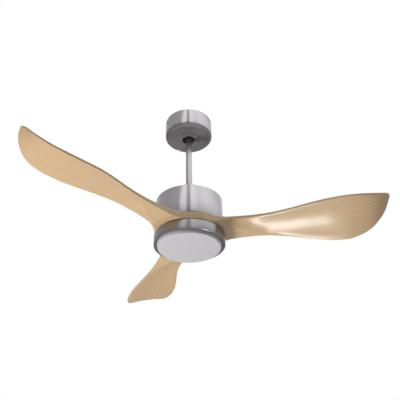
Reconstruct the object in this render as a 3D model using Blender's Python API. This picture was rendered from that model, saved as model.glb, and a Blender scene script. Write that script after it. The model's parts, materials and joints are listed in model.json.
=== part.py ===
"""Three-blade ceiling fan with light: every solid piece as its own object.

Metres, +Z up. The origin is the middle of the ceiling bracket's flat top, on the
spin axis, so the whole fan hangs below z = 0.
"""
import math

import bmesh
import bpy
from mathutils import Matrix, Vector

MM = 0.001
GAP = 0.3 * MM                      # space left between pieces that touch
RUN = 0.05 * MM                     # running clearance of a bearing on its shaft

# ---- ceiling end -------------------------------------------------------------
BRACKET_TURN = math.radians(25.0)   # the bracket's long side, about the spin axis
BRACKET_HALF = 77.0 * MM            # half the bracket's length, ear to ear
BRACKET_WIDTH = 28.0 * MM
BRACKET_THICK = 2.5 * MM
EAR_DROP = 34.0 * MM
CANOPY_R = 86.0 * MM
CANOPY_WALL = 1.4 * MM
CANOPY_DEPTH = 64.0 * MM
CEILING_GAP = 0.8 * MM              # between the canopy rim and the ceiling
CANOPY_SCREW_Z = -22.0 * MM
CANOPY_SCREW_R = 2.5 * MM
TRIM_GROOVE = 3.0 * MM              # height of the dark groove over the lip
TRIM_LIP_DROP = 8.5 * MM
TRIM_LIP_IN = 10.0 * MM
BASE_THICK = 3.0 * MM
BASE_BOSS_R = 42.0 * MM
BASE_BOSS_DROP = 3.0 * MM
BASE_HOLE_R = 23.5 * MM

# ---- hanger ball and rod -----------------------------------------------------
BALL_Z = -38.0 * MM
BALL_R = 27.0 * MM
BALL_TOP = 11.0 * MM                # flat faces of the ball, over and under its centre
BALL_BOTTOM = -20.0 * MM
LINER_THICK = 2.0 * MM
SEAT_GAP = 0.5 * MM                  # the faceted liner swings in the cradle
LINER_TOP = -4.5 * MM               # the liner's band, measured from the ball's centre
LINER_BOTTOM = -18.5 * MM
CRADLE_TOP = -5.0 * MM
CRADLE_BOTTOM = -19.0 * MM
CRADLE_OUT_R = 36.5 * MM
STRAP_FOOT = 12.0 * MM              # flange of a cradle strap under the bracket
ROD_R = 11.0 * MM
ROD_WALL = 1.8 * MM
ROD_TOP = -24.0 * MM
PIN_R = 3.0 * MM
CROSS_PIN_Z = BALL_Z + 6.0 * MM
SET_SCREW_R = 2.2 * MM

# ---- motor -------------------------------------------------------------------
HOUSING_TOP = -359.5 * MM
HOUSING_R = 114.0 * MM
HOUSING_WALL = 1.5 * MM
HOUSING_BOTTOM = HOUSING_TOP - 101.5 * MM
COVER_R = 50.0 * MM
COVER_TOP = HOUSING_TOP + 48.5 * MM
COUPLING_R = 19.0 * MM
COUPLING_TOP = COVER_TOP - 6.0 * MM
COUPLING_FLANGE_R = 30.0 * MM
ROD_BOTTOM = HOUSING_TOP + 21.5 * MM
CLEVIS_Z = ROD_BOTTOM + 12.0 * MM
ROD_SCREW_Z = ROD_BOTTOM + 3.0 * MM
SHAFT_SCREW_Z = ROD_BOTTOM - 10.0 * MM
NUT_HALF = 17.0 * MM                # middle to corner of the nut under the housing top
LIGHT_NUT_HALF = 15.0 * MM
NUT_THICK = 6.0 * MM
SHAFT_R = 9.0 * MM
SHAFT_BORE = 6.0 * MM
STATOR_Z = HOUSING_TOP - 55.5 * MM
STATOR_HALF = 12.0 * MM
STATOR_R = 70.0 * MM
STATOR_TEETH = 12
YOKE_R = 34.0 * MM
TOOTH_HALF = 4.5 * MM
SHOE_R = 62.0 * MM                  # where a tooth widens into its shoe
WINDING_HIGH = 9.0 * MM
MAGNET_HALF = 15.0 * MM
COVER_REACH = 29.0 * MM             # stator's middle to the inside of either cover
MAGNET_GAP = 1.5 * MM
MAGNET_THICK = 7.0 * MM
COVER_WALL = 4.0 * MM
BEARING_R = 17.0 * MM
BEARING_WIDE = 8.0 * MM

# ---- blades and their carrier ------------------------------------------------
BLADE_PLANE = HOUSING_BOTTOM - 15.0 * MM
BLADE_REACH = 660.0 * MM             # spin axis to the tip
HUB_EDGE = 117.0 * MM               # the blade stretches only outside this radius
BLADE_PHASE = math.radians(19.2)
HUB_TOP = 12.4 * MM                 # wood top over the blade plane
HUB_BOTTOM = -13.8 * MM
CARRIER_R = 104.0 * MM
CARRIER_THICK = 4.0 * MM
CLAMP_R = 96.0 * MM
CLAMP_THICK = 2.0 * MM
BLADE_SCREW_X = 78.0 * MM
BLADE_SCREW_Y = 28.0 * MM
BLADE_SCREW_R = 2.4 * MM

# ---- light -------------------------------------------------------------------
RING_R = 119.0 * MM
RING_WALL = 1.4 * MM
RING_TOP = BLADE_PLANE - 18.0 * MM
RING_BOTTOM = RING_TOP - 33.5 * MM
SHAFT_BOTTOM = RING_TOP - 17.0 * MM
RING_LIP = 9.0 * MM
LENS_DROP = 12.0 * MM
LENS_TAPER = 5.0 * MM                # the wall leans in below the ring
LENS_WALL = 2.0 * MM
LENS_TAB_SPAN = math.radians(16.0)
BOARD_Z = RING_TOP - 23.0 * MM
BOARD_R = RING_R - 27.0 * MM
LED_ROWS = ((6, 36.0 * MM), (12, 72.0 * MM))
LIGHT_PLATE_R = 62.0 * MM
LIGHT_PLATE_THICK = 2.5 * MM
LIGHT_SCREW_RING = 50.0 * MM
LIGHT_SCREW_R = 2.0 * MM
POST_RING = 48.0 * MM
POST_R = 4.0 * MM
DRIVER_SIZE = (62.0 * MM, 24.0 * MM, 13.0 * MM)
DRIVER_Y = -32.0 * MM
LENS_EDGE = 3.0 * MM                # rounding between the lens's wall and its face
LENS_DOME = 1.5 * MM
LENS_RIM_UP = 11.0 * MM             # the lens's rim over the foot of the ring
LENS_PLAY = 1.0 * MM
TAB_THICK = 3.0 * MM
TAB_REACH = 3.5 * MM

ROUND = 24                          # sides of a hidden round piece
SEEN = 44                           # sides of a round piece that is seen
FINE = 40                           # sides of the shaft and what runs on it
SMALL = 12                          # sides of a small round piece
TINY = 10                           # sides of a screw

for old in list(bpy.data.objects):
    bpy.data.objects.remove(old)


# ---- small helpers -----------------------------------------------------------
def material(name, colour, roughness, metallic):
    """A plain Principled material."""
    made = bpy.data.materials.new(name)
    made.use_nodes = True
    shader = made.node_tree.nodes["Principled BSDF"]
    shader.inputs["Base Color"].default_value = (*colour, 1.0)
    shader.inputs["Roughness"].default_value = roughness
    shader.inputs["Metallic"].default_value = metallic
    made.diffuse_color = (*colour, 1.0)
    return made


NICKEL = material("brushed_nickel", (0.55, 0.54, 0.54), 0.32, 1.0)
GREY_PAINT = material("grey_satin_paint", (0.12, 0.12, 0.13), 0.5, 0.2)
WOOD = material("pale_wood", (0.62, 0.44, 0.27), 0.45, 0.0)
OPAL = material("opal_acrylic", (0.80, 0.79, 0.81), 0.35, 0.0)
ZINC = material("zinc_steel", (0.50, 0.51, 0.52), 0.4, 1.0)
CAST = material("cast_aluminium", (0.42, 0.43, 0.44), 0.55, 1.0)
LAMINATION = material("silicon_steel", (0.20, 0.21, 0.22), 0.5, 1.0)
COPPER = material("copper_winding", (0.60, 0.27, 0.12), 0.35, 1.0)
FERRITE = material("ferrite", (0.06, 0.06, 0.065), 0.6, 0.0)
NYLON = material("black_nylon", (0.03, 0.03, 0.03), 0.5, 0.0)
WHITE_PLASTIC = material("white_plastic", (0.75, 0.75, 0.73), 0.45, 0.0)
BRASS = material("brass", (0.62, 0.45, 0.18), 0.35, 1.0)
BOARD = material("white_board", (0.85, 0.85, 0.83), 0.5, 0.0)
SCREW = material("nickel_screw", (0.60, 0.60, 0.61), 0.25, 1.0)
BEARING = material("bearing_steel", (0.58, 0.58, 0.60), 0.2, 1.0)


def finish(name, shape, surface, sharp=35.0):
    """Turns a bmesh into a named object with its outside facing out."""
    bmesh.ops.remove_doubles(shape, verts=shape.verts, dist=1e-7)
    bmesh.ops.recalc_face_normals(shape, faces=shape.faces)
    mesh = bpy.data.meshes.new(name)
    shape.to_mesh(mesh)
    shape.free()
    mesh.materials.append(surface)
    mesh.shade_smooth()
    mesh.set_sharp_from_angle(angle=math.radians(sharp))
    made = bpy.data.objects.new(name, mesh)
    bpy.context.scene.collection.objects.link(made)
    return made


def arc(centre_r, centre_z, radius, start, end, steps):
    """Points of an arc in a turned profile, angles in degrees."""
    points = []
    for step in range(steps + 1):
        turn = math.radians(start + (end - start) * step / steps)
        points.append((centre_r + radius * math.cos(turn), centre_z + radius * math.sin(turn)))
    return points


def turned_shape(profile, sides=ROUND):
    """A closed profile of (radius, height) points spun about the Z axis."""
    shape = bmesh.new()
    corners = [shape.verts.new((radius, 0.0, height)) for radius, height in profile]
    edges = []
    for index, corner in enumerate(corners):
        following = corners[(index + 1) % len(corners)]
        on_axis = corner.co.x < 1e-9 and following.co.x < 1e-9
        if not on_axis:
            edges.append(shape.edges.new((corner, following)))
    bmesh.ops.spin(shape, geom=corners + edges, cent=(0, 0, 0), axis=(0, 0, 1),
                   angle=math.tau, steps=sides, use_merge=True)
    bmesh.ops.remove_doubles(shape, verts=shape.verts, dist=1e-7)
    return shape


def turned(name, profile, surface, sides=ROUND, sharp=35.0):
    return finish(name, turned_shape(profile, sides), surface, sharp)


def tube_profile(inner, outer, low, high):
    return [(inner, high), (outer, high), (outer, low), (inner, low)]


def prism_shape(outline, low, high):
    """An outline in XY raised from low to high."""
    shape = bmesh.new()
    face = shape.faces.new([shape.verts.new((x, y, low)) for x, y in outline])
    raised = bmesh.ops.extrude_face_region(shape, geom=[face])
    top = [part for part in raised["geom"] if isinstance(part, bmesh.types.BMVert)]
    bmesh.ops.translate(shape, verts=top, vec=(0, 0, high - low))
    return shape


def prism(name, outline, low, high, surface):
    return finish(name, prism_shape(outline, low, high), surface)


def box_shape(size, centre, soften=0.0):
    shape = bmesh.new()
    bmesh.ops.create_cube(shape, size=1.0)
    bmesh.ops.scale(shape, vec=size, verts=shape.verts)
    bmesh.ops.translate(shape, vec=centre, verts=shape.verts)
    if soften:
        bmesh.ops.bevel(shape, geom=list(shape.edges), offset=soften, segments=2,
                        profile=0.5, affect='EDGES', clamp_overlap=True, material=-1)
    return shape


def box(name, size, centre, surface, soften=0.0):
    return finish(name, box_shape(size, centre, soften), surface)


def stud_profile(shank_r, head_r, head_thick, length):
    """A screw lying along +Z: its head's top at z = 0, its tip at -length."""
    dome = head_r * 0.82
    return [(0.0, 0.0), (dome, 0.0), (head_r, -head_thick * 0.35), (head_r, -head_thick),
            (shank_r, -head_thick), (shank_r, -length), (0.0, -length)]


def aim(made, place, direction):
    """Turns a piece made along +Z so that it lies along direction, at place."""
    made.rotation_mode = 'QUATERNION'
    made.rotation_quaternion = Vector((0, 0, 1)).rotation_difference(Vector(direction))
    made.location = place
    return made


def cutter(name, shape):
    made = finish(name, shape, NYLON)
    made.hide_render = True
    made.display_type = 'WIRE'
    return made


def cut(piece, tool):
    step = piece.modifiers.new("cut_" + tool.name, 'BOOLEAN')
    step.operation = 'DIFFERENCE'
    step.solver = 'EXACT'
    step.object = tool
    return step


def polar(radius, turn, height=0.0):
    return Vector((radius * math.cos(turn), radius * math.sin(turn), height))


def turn_about_axis(made, turn):
    made.rotation_euler = (0.0, 0.0, turn)
    return made


# ---- ceiling bracket and cradle ----------------------------------------------
def build_bracket():
    """Flat bar with two ears bent down, the canopy screws go into the ears."""
    half, thick = BRACKET_HALF, BRACKET_THICK
    outline = [(-half, -EAR_DROP), (-half, 0), (half, 0), (half, -EAR_DROP),
               (half - thick, -EAR_DROP), (half - thick, -thick),
               (thick - half, -thick), (thick - half, -EAR_DROP)]
    shape = prism_shape(outline, -BRACKET_WIDTH / 2, BRACKET_WIDTH / 2)
    bmesh.ops.rotate(shape, verts=shape.verts, cent=(0, 0, 0),
                     matrix=Matrix.Rotation(math.radians(90), 3, 'X'))
    bracket = finish("ceiling_bracket", shape, ZINC)
    turn_about_axis(bracket, BRACKET_TURN)
    for side, label in ((1, "a"), (-1, "b")):
        slot = cutter("bracket_slot_cut_" + label,
                      box_shape((16 * MM, 5.5 * MM, 8 * MM), (side * 55 * MM, 0, 0)))
        turn_about_axis(slot, BRACKET_TURN)
        cut(bracket, slot)
        hole = turned_shape([(0, 8 * MM), (CANOPY_SCREW_R + GAP, 8 * MM),
                             (CANOPY_SCREW_R + GAP, -8 * MM), (0, -8 * MM)], SMALL)
        ear_hole = cutter("ear_hole_cut_" + label, hole)
        turn = BRACKET_TURN if side > 0 else BRACKET_TURN + math.pi
        aim(ear_hole, polar(BRACKET_HALF, turn, CANOPY_SCREW_Z), polar(1, turn))
        cut(bracket, ear_hole)
    wire_hole = cutter("wire_hole_cut", turned_shape(
        [(0, 8 * MM), (7 * MM, 8 * MM), (7 * MM, -8 * MM), (0, -8 * MM)], SMALL))
    wire_hole.location = polar(24 * MM, BRACKET_TURN)
    cut(bracket, wire_hole)
    return bracket


def build_cradle():
    """The seat ring that carries the ball, and the two straps that hold it up."""
    seat = BALL_R + GAP + LINER_THICK + SEAT_GAP
    top, bottom = CRADLE_TOP, CRADLE_BOTTOM
    start = math.degrees(math.asin(bottom / seat))
    end = math.degrees(math.asin(top / seat))
    profile = arc(0, BALL_Z, seat, start, end, 3)
    profile += [(CRADLE_OUT_R, BALL_Z + top), (CRADLE_OUT_R, BALL_Z + bottom)]
    turned("cradle_ring", profile, ZINC, ROUND)
    near = CRADLE_OUT_R + GAP
    far = near + BRACKET_THICK
    high = -BRACKET_THICK - GAP
    low = BALL_Z + bottom
    for side, label in ((1, "right"), (-1, "left")):
        outline = [(near, low), (near, high), (far + STRAP_FOOT, high),
                   (far + STRAP_FOOT, high - BRACKET_THICK), (far, high - BRACKET_THICK),
                   (far, low)]
        shape = prism_shape(outline, -10 * MM, 10 * MM)
        bmesh.ops.rotate(shape, verts=shape.verts, cent=(0, 0, 0),
                         matrix=Matrix.Rotation(math.radians(90), 3, 'X'))
        strap = finish("cradle_strap_" + label, shape, ZINC)
        turn_about_axis(strap, BRACKET_TURN + (0 if side > 0 else math.pi))


def build_canopy():
    """Brushed shell, chamfered trim ring, dark base disc and two side screws."""
    rim = -CEILING_GAP
    foot = -CANOPY_DEPTH
    inner = CANOPY_R - CANOPY_WALL
    edge = 0.6 * MM
    shell = turned("canopy_shell", [
        (inner, rim), (CANOPY_R - edge, rim), (CANOPY_R, rim - edge),
        (CANOPY_R, foot + edge), (CANOPY_R - edge, foot), (inner - 6 * MM, foot),
        (inner - 6 * MM, foot + CANOPY_WALL), (inner, foot + CANOPY_WALL)], NICKEL, SEEN)
    for turn, label in ((BRACKET_TURN, "right"), (BRACKET_TURN + math.pi, "left")):
        hole = cutter("shell_hole_cut_" + label, turned_shape(
            [(0, 6 * MM), (CANOPY_SCREW_R + GAP, 6 * MM),
             (CANOPY_SCREW_R + GAP, -6 * MM), (0, -6 * MM)], SMALL))
        aim(hole, polar(CANOPY_R, turn, CANOPY_SCREW_Z), polar(1, turn))
        cut(shell, hole)
        length = CANOPY_R - BRACKET_HALF + BRACKET_THICK + 7 * MM
        screw = turned("canopy_screw_" + label,
                       stud_profile(CANOPY_SCREW_R, 4.6 * MM, 2.6 * MM, length), SCREW, SMALL)
        aim(screw, polar(CANOPY_R + GAP + 2.6 * MM, turn, CANOPY_SCREW_Z), polar(1, turn))
    top = foot - GAP
    groove = foot - TRIM_GROOVE
    lip_r = CANOPY_R - 0.7 * MM
    lip_foot = groove - TRIM_LIP_DROP
    lip_in = lip_r - TRIM_LIP_IN
    turned("canopy_trim_ring", [
        (lip_in, top), (lip_r - 3 * MM, top), (lip_r - 3 * MM, groove),
        (lip_r, groove), (lip_r, groove - 1.2 * MM),
        (lip_r - 3.2 * MM, groove - 4.4 * MM), (lip_in + 0.8 * MM, lip_foot),
        (lip_in, lip_foot)], NICKEL, SEEN)
    disc_r = lip_in - GAP
    disc_foot = lip_foot
    boss_foot = disc_foot - BASE_BOSS_DROP
    turned("canopy_base_disc", [
        (BASE_HOLE_R, disc_foot + BASE_THICK), (disc_r, disc_foot + BASE_THICK),
        (disc_r, disc_foot), (BASE_BOSS_R, disc_foot),
        (BASE_BOSS_R - 2 * MM, boss_foot), (BASE_HOLE_R + 0.8 * MM, boss_foot),
        (BASE_HOLE_R, boss_foot + 0.8 * MM)], GREY_PAINT, SEEN)


def build_canopy_wiring():
    """Receiver box, terminal block and earth screw under the canopy."""
    receiver = box("receiver_box", (78 * MM, 20 * MM, 34 * MM), (0, 52 * MM, -25 * MM),
                   NYLON, 1.5 * MM)
    turn_about_axis(receiver, BRACKET_TURN)
    shape = box_shape((36 * MM, 14 * MM, 16 * MM), (0, -48 * MM, -14 * MM))
    front = [face for face in shape.faces if face.normal.z < -0.5]
    bmesh.ops.subdivide_edges(shape, edges=[
        edge for edge in front[0].edges if abs(edge.verts[0].co.y - edge.verts[1].co.y) < 1e-6],
        cuts=2)
    shape.verts.index_update()
    lower = sorted((vert for vert in shape.verts if vert.co.z < -21.9 * MM),
                   key=lambda vert: (round(vert.co.y, 5), vert.co.x))
    half = len(lower) // 2
    for index in range(1, half - 1):
        bmesh.ops.connect_verts(shape, verts=[lower[index], lower[index + half]])
    cells = [face for face in shape.faces if face.normal.z < -0.5]
    bmesh.ops.inset_individual(shape, faces=cells, thickness=2.5 * MM, depth=0.0)
    wells = [face for face in cells if face.is_valid]
    for well in wells:
        deeper = bmesh.ops.extrude_discrete_faces(shape, faces=[well])
        corners = {vert for face in deeper["faces"] for vert in face.verts}
        bmesh.ops.translate(shape, verts=list(corners), vec=(0, 0, 7 * MM))
    block = finish("terminal_block", shape, WHITE_PLASTIC)
    turn_about_axis(block, BRACKET_TURN)
    earth = turned("earth_screw", stud_profile(2.0 * MM, 4.0 * MM, 2.0 * MM, 9 * MM), BRASS, TINY)
    place = polar(62 * MM, BRACKET_TURN + math.radians(7), -BRACKET_THICK - GAP - 9 * MM)
    aim(earth, place, (0, 0, -1))


# ---- hanger ball, rod and coupling -------------------------------------------
def build_ball():
    liner_in = BALL_R + GAP
    liner_out = liner_in + LINER_THICK
    low, high = LINER_BOTTOM, LINER_TOP
    outer = arc(0, BALL_Z, liner_out, math.degrees(math.asin(high / liner_out)),
                math.degrees(math.asin(low / liner_out)), 3)
    inner = arc(0, BALL_Z, liner_in, math.degrees(math.asin(low / liner_in)),
                math.degrees(math.asin(high / liner_in)), 3)
    turned("ball_liner", outer + inner, NYLON, ROUND)
    top, bottom = BALL_TOP, BALL_BOTTOM
    bore = ROD_R + GAP
    profile = arc(0, BALL_Z, BALL_R, math.degrees(math.asin(top / BALL_R)),
                  math.degrees(math.asin(bottom / BALL_R)), 8)
    profile += [(bore, BALL_Z + bottom), (bore, BALL_Z + top)]
    ball = turned("hanger_ball", profile, CAST, ROUND)
    slot_low = CROSS_PIN_Z - PIN_R - GAP
    slot_high = BALL_Z + top + 5 * MM
    slot = cutter("ball_slot_cut", box_shape(
        (44 * MM, 2 * PIN_R + 2 * GAP, slot_high - slot_low),
        (0, 0, (slot_low + slot_high) / 2)))
    cut(ball, slot)
    screw_hole = cutter("ball_screw_cut", turned_shape(
        [(0, 20 * MM), (SET_SCREW_R + GAP, 20 * MM),
         (SET_SCREW_R + GAP, 0), (0, 0)], SMALL))
    aim(screw_hole, (0, ROD_R - 1 * MM, CROSS_PIN_Z), (0, 1, 0))
    cut(ball, screw_hole)
    screw = turned("ball_set_screw", [
        (0, 11.5 * MM), (SET_SCREW_R, 11.5 * MM), (SET_SCREW_R, 1 * MM),
        (SET_SCREW_R * 0.5, 0), (0, 0)], ZINC, TINY)
    aim(screw, (0, ROD_R + GAP, CROSS_PIN_Z), (0, 1, 0))
    pin = turned("ball_cross_pin", [
        (0, 20 * MM), (PIN_R * 0.8, 20 * MM), (PIN_R, 19 * MM), (PIN_R, -19 * MM),
        (PIN_R * 0.8, -20 * MM), (0, -20 * MM)], ZINC, SMALL)
    aim(pin, (0, 0, CROSS_PIN_Z), (1, 0, 0))


def build_rod():
    bore = ROD_R - ROD_WALL
    rod = turned("down_rod", tube_profile(bore, ROD_R, ROD_BOTTOM, ROD_TOP), NICKEL, ROUND)
    for label, height in (("top", CROSS_PIN_Z), ("foot", CLEVIS_Z)):
        hole = cutter("rod_hole_cut_" + label, turned_shape(
            [(0, 30 * MM), (PIN_R + GAP, 30 * MM), (PIN_R + GAP, -30 * MM), (0, -30 * MM)],
            SMALL))
        aim(hole, (0, 0, height), (1, 0, 0))
        cut(rod, hole)


def build_coupling():
    """Steel collar that joins the rod to the motor's hollow shaft."""
    foot = HOUSING_TOP + GAP
    flange = foot + 3 * MM
    step = ROD_BOTTOM - GAP
    rod_bore = ROD_R + GAP
    shaft_bore = SHAFT_R + GAP
    coupling = turned("rod_coupling", [
        (rod_bore, COUPLING_TOP), (COUPLING_R, COUPLING_TOP), (COUPLING_R, flange),
        (COUPLING_FLANGE_R, flange), (COUPLING_FLANGE_R, foot), (shaft_bore, foot),
        (shaft_bore, step), (rod_bore, step)], ZINC, ROUND)
    pin_hole = cutter("coupling_pin_cut", turned_shape(
        [(0, 30 * MM), (PIN_R + GAP, 30 * MM), (PIN_R + GAP, -30 * MM), (0, -30 * MM)], SMALL))
    aim(pin_hole, (0, 0, CLEVIS_Z), (1, 0, 0))
    cut(coupling, pin_hole)
    reach = COUPLING_R + GAP
    head_r = PIN_R + 2 * MM
    clevis = turned("clevis_pin", [
        (0, reach + 2 * MM), (head_r, reach + 2 * MM), (head_r, reach), (PIN_R, reach),
        (PIN_R, -reach - 8 * MM), (0, -reach - 8 * MM)], ZINC, SMALL)
    aim(clevis, (0, 0, CLEVIS_Z), (1, 0, 0))
    split_hole = cutter("split_pin_cut", turned_shape(
        [(0, 9 * MM), (1.1 * MM, 9 * MM), (1.1 * MM, -9 * MM), (0, -9 * MM)], 8))
    split_hole.location = (-reach - 4 * MM, 0, CLEVIS_Z)
    cut(clevis, split_hole)
    turn_point = Vector((-reach - 4 * MM, 0, CLEVIS_Z))
    path = [(0, 0, -8 * MM), (0, 0, 5 * MM), (0, 1.5 * MM, 7 * MM), (0, 4 * MM, 7.5 * MM),
            (0, 6 * MM, 5.5 * MM), (0, 6 * MM, 1 * MM), (0, 4.6 * MM, -4 * MM)]
    wire("split_pin", [Vector(point) + turn_point for point in path], 0.7 * MM, ZINC)
    for label, height, direction, core in (
            ("rod", ROD_SCREW_Z, (0, 1, 0), ROD_R), ("shaft", SHAFT_SCREW_Z, (0, -1, 0), SHAFT_R)):
        hole = cutter("coupling_screw_cut_" + label, turned_shape(
            [(0, 24 * MM), (SET_SCREW_R + GAP, 24 * MM),
             (SET_SCREW_R + GAP, 0), (0, 0)], SMALL))
        aim(hole, Vector(direction) * (core - 1 * MM) + Vector((0, 0, height)), direction)
        cut(coupling, hole)
        depth = COUPLING_R - core - 2 * GAP
        screw = turned("coupling_set_screw_" + label, [
            (0, depth), (SET_SCREW_R, depth), (SET_SCREW_R, 1 * MM),
            (SET_SCREW_R * 0.5, 0), (0, 0)], ZINC, TINY)
        aim(screw, Vector(direction) * (core + GAP) + Vector((0, 0, height)), direction)


def wire(name, points, radius, surface):
    """A bent wire of round section along the points."""
    line = bpy.data.curves.new(name, 'CURVE')
    line.dimensions = '3D'
    line.bevel_depth = radius
    line.bevel_resolution = 1
    line.use_fill_caps = True
    strand = line.splines.new('POLY')
    strand.points.add(len(points) - 1)
    for spot, place in zip(strand.points, points):
        spot.co = (*place, 1.0)
    line.materials.append(surface)
    made = bpy.data.objects.new(name, line)
    bpy.context.scene.collection.objects.link(made)
    return made


def build_coupling_cover():
    """The round cover over the coupling, standing on the housing."""
    foot = HOUSING_TOP + GAP
    edge = 4 * MM
    wall = 1.5 * MM
    hole = ROD_R + 0.8 * MM
    outer = arc(COVER_R - edge, COVER_TOP - edge, edge, 90, 0, 2)
    inner = arc(COVER_R - edge, COVER_TOP - edge, edge - wall, 0, 90, 2)
    turned("coupling_cover", [(hole, COVER_TOP)] + outer + [(COVER_R, foot)]
           + [(COVER_R - wall, foot)] + inner + [(hole, COVER_TOP - wall)], NICKEL)


# ---- motor -------------------------------------------------------------------
def build_housing():
    edge = 1.2 * MM
    wall = HOUSING_WALL
    hole = SHAFT_R + GAP
    top = HOUSING_TOP
    outer = arc(HOUSING_R - edge, top - edge, edge, 90, 0, 1)
    turned("motor_housing", [(hole, top)] + outer + [
        (HOUSING_R, HOUSING_BOTTOM), (HOUSING_R - wall, HOUSING_BOTTOM),
        (HOUSING_R - wall, top - wall), (hole, top - wall)], NICKEL, SEEN)
    nut_top = top - wall - GAP
    ring_nut("housing_nut", NUT_HALF, nut_top - NUT_THICK, nut_top)
    turned("motor_shaft", tube_profile(SHAFT_BORE, SHAFT_R, SHAFT_BOTTOM,
                                       ROD_BOTTOM - 2 * GAP), BEARING, FINE)


def ring_nut(name, reach, low, high):
    """A hexagon nut with a round bore for the shaft, reach from the middle to a corner."""
    corners = [polar(reach, math.radians(60 * index)) for index in range(6)]
    nut = prism(name, [(corner.x, corner.y) for corner in corners], low, high, ZINC)
    bore = cutter(name + "_bore_cut", turned_shape(
        [(0, high + 2 * MM), (SHAFT_R + GAP, high + 2 * MM),
         (SHAFT_R + GAP, low - 2 * MM), (0, low - 2 * MM)], ROUND))
    cut(nut, bore)
    return nut


def build_stator():
    """Toothed core on the shaft with a winding head over and under it."""
    outline = []
    pitch = math.tau / STATOR_TEETH
    yoke, shoe, tooth = YOKE_R, SHOE_R, TOOTH_HALF
    shoe_half = pitch * 0.42
    for index in range(STATOR_TEETH):
        middle = index * pitch
        root_turn = math.asin(tooth / yoke)
        neck_turn = math.asin(tooth / shoe)
        outline.append(polar(yoke, middle - root_turn))
        outline.append(polar(shoe, middle - neck_turn))
        outline.append(polar(shoe + 3 * MM, middle - shoe_half))
        for part in range(4):
            turn = middle - shoe_half + 2 * shoe_half * part / 3
            outline.append(polar(STATOR_R, turn))
        outline.append(polar(shoe + 3 * MM, middle + shoe_half))
        outline.append(polar(shoe, middle + neck_turn))
        outline.append(polar(yoke, middle + root_turn))
    core = prism("stator_core", [(point.x, point.y) for point in outline],
                 STATOR_Z - STATOR_HALF, STATOR_Z + STATOR_HALF, LAMINATION)
    bore = cutter("stator_bore_cut", turned_shape(
        [(0, STATOR_Z + 20 * MM), (SHAFT_R + GAP, STATOR_Z + 20 * MM),
         (SHAFT_R + GAP, STATOR_Z - 20 * MM), (0, STATOR_Z - 20 * MM)], ROUND))
    cut(core, bore)
    for label, side in (("upper", 1), ("lower", -1)):
        near = STATOR_Z + side * (STATOR_HALF + GAP)
        far = near + side * WINDING_HIGH
        low, high = min(near, far), max(near, far)
        shape = turned_shape([(38 * MM, low), (38 * MM, high - 2 * MM), (41 * MM, high),
                              (55 * MM, high), (58 * MM, high - 2 * MM), (58 * MM, low)],
                             STATOR_TEETH * 3)
        for vert in shape.verts:
            turn = math.atan2(vert.co.y, vert.co.x)
            swell = 1.0 + 0.04 * math.cos(STATOR_TEETH * turn) * (vert.co.xy.length > 48 * MM)
            vert.co.x *= swell
            vert.co.y *= swell
        finish("winding_" + label, shape, COPPER)


def build_rotor():
    """Two aluminium covers round the stator, the magnets and the bearings."""
    magnet_in = STATOR_R + MAGNET_GAP
    magnet_out = magnet_in + MAGNET_THICK
    turned("magnet_ring", tube_profile(magnet_in, magnet_out, STATOR_Z - MAGNET_HALF,
                                       STATOR_Z + MAGNET_HALF), FERRITE)
    wall_in = magnet_out + GAP
    wall_out = wall_in + COVER_WALL
    flange = wall_out + 7 * MM
    split = STATOR_Z + 10 * MM
    seat = BEARING_R + GAP
    boss = seat + 5 * MM
    pass_r = SHAFT_R + 2 * MM
    for label, side in (("upper", 1), ("lower", -1)):
        face = split + side * GAP / 2
        plate_in = STATOR_Z + side * COVER_REACH
        plate_out = plate_in + side * COVER_WALL
        mouth = plate_out + side * (BEARING_WIDE - COVER_WALL)
        turned("rotor_cover_" + label, [
            (wall_in, face), (flange, face), (flange, face + side * 3 * MM),
            (wall_out, face + side * 3 * MM), (wall_out, plate_out), (boss, plate_out),
            (boss, mouth), (seat, mouth), (seat, plate_in + side * 2 * MM),
            (pass_r, plate_in + side * 2 * MM), (pass_r, plate_in), (wall_in, plate_in)],
            CAST)
        near = plate_in + side * (2 * MM + GAP)
        far = near + side * (BEARING_WIDE - 3 * MM)
        turned("bearing_" + label, tube_profile(SHAFT_R + RUN, BEARING_R, min(near, far),
                                                max(near, far)), BEARING, FINE)


# ---- blades ------------------------------------------------------------------
# Each rail gives one measure of the blade against the distance from the axis, in mm.
LEADING_Y = ((22.7, -38.6), (59, -101.2), (83, -80), (108, -62.5), (140, -52), (180, -47.5),
             (220, -45), (260, -45), (300, -48.5), (340, -56), (385, -67), (430, -78),
             (475, -86), (520, -89), (560, -85.5), (595, -75), (622, -59), (642, -40),
             (655, -20), (660, -6))
TRAILING_Y = ((22.7, 38.6), (59, 101.2), (83, 79), (108, 62), (140, 52), (180, 49.5),
              (220, 50), (260, 53), (300, 59), (340, 67.5), (385, 79), (430, 89),
              (475, 95), (520, 94), (560, 85), (595, 70), (622, 52), (642, 33),
              (655, 13), (660, 0))
LEADING_TOP = ((22.7, 12.4), (220, 12.4), (300, 14), (385, 16), (475, 17), (560, 18.5),
               (595, 22), (622, 29), (642, 39), (655, 48), (660, 52))
LEADING_THICK = ((22.7, 26.2), (90, 26.2), (108, 18), (125, 12.5), (140, 10), (180, 8.5),
                 (220, 8), (320, 7.5), (560, 7), (660, 5))
TRAILING_FOOT = ((22.7, -13.8), (200, -13.8), (260, -15.5), (300, -19), (340, -23),
                 (385, -28.5), (430, -33.5), (475, -38), (520, -40), (560, -34.5),
                 (595, -23), (622, -5), (642, 15), (655, 37), (660, 46))
TRAILING_THICK = ((22.7, 26.2), (90, 26.2), (108, 25), (140, 21.5), (180, 17), (220, 13),
                  (260, 10.5), (300, 9), (340, 8), (400, 7.5), (560, 7), (660, 5))
CREASE = ((22.7, 0.04), (83, 0.06), (108, 0.10), (140, 0.21), (180, 0.39), (220, 0.62),
          (260, 0.82), (300, 0.91), (340, 0.94), (660, 0.94))
CAMBER = ((22.7, 0), (160, 0), (300, 3), (450, 7), (560, 6), (620, 3), (660, 0))
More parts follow.
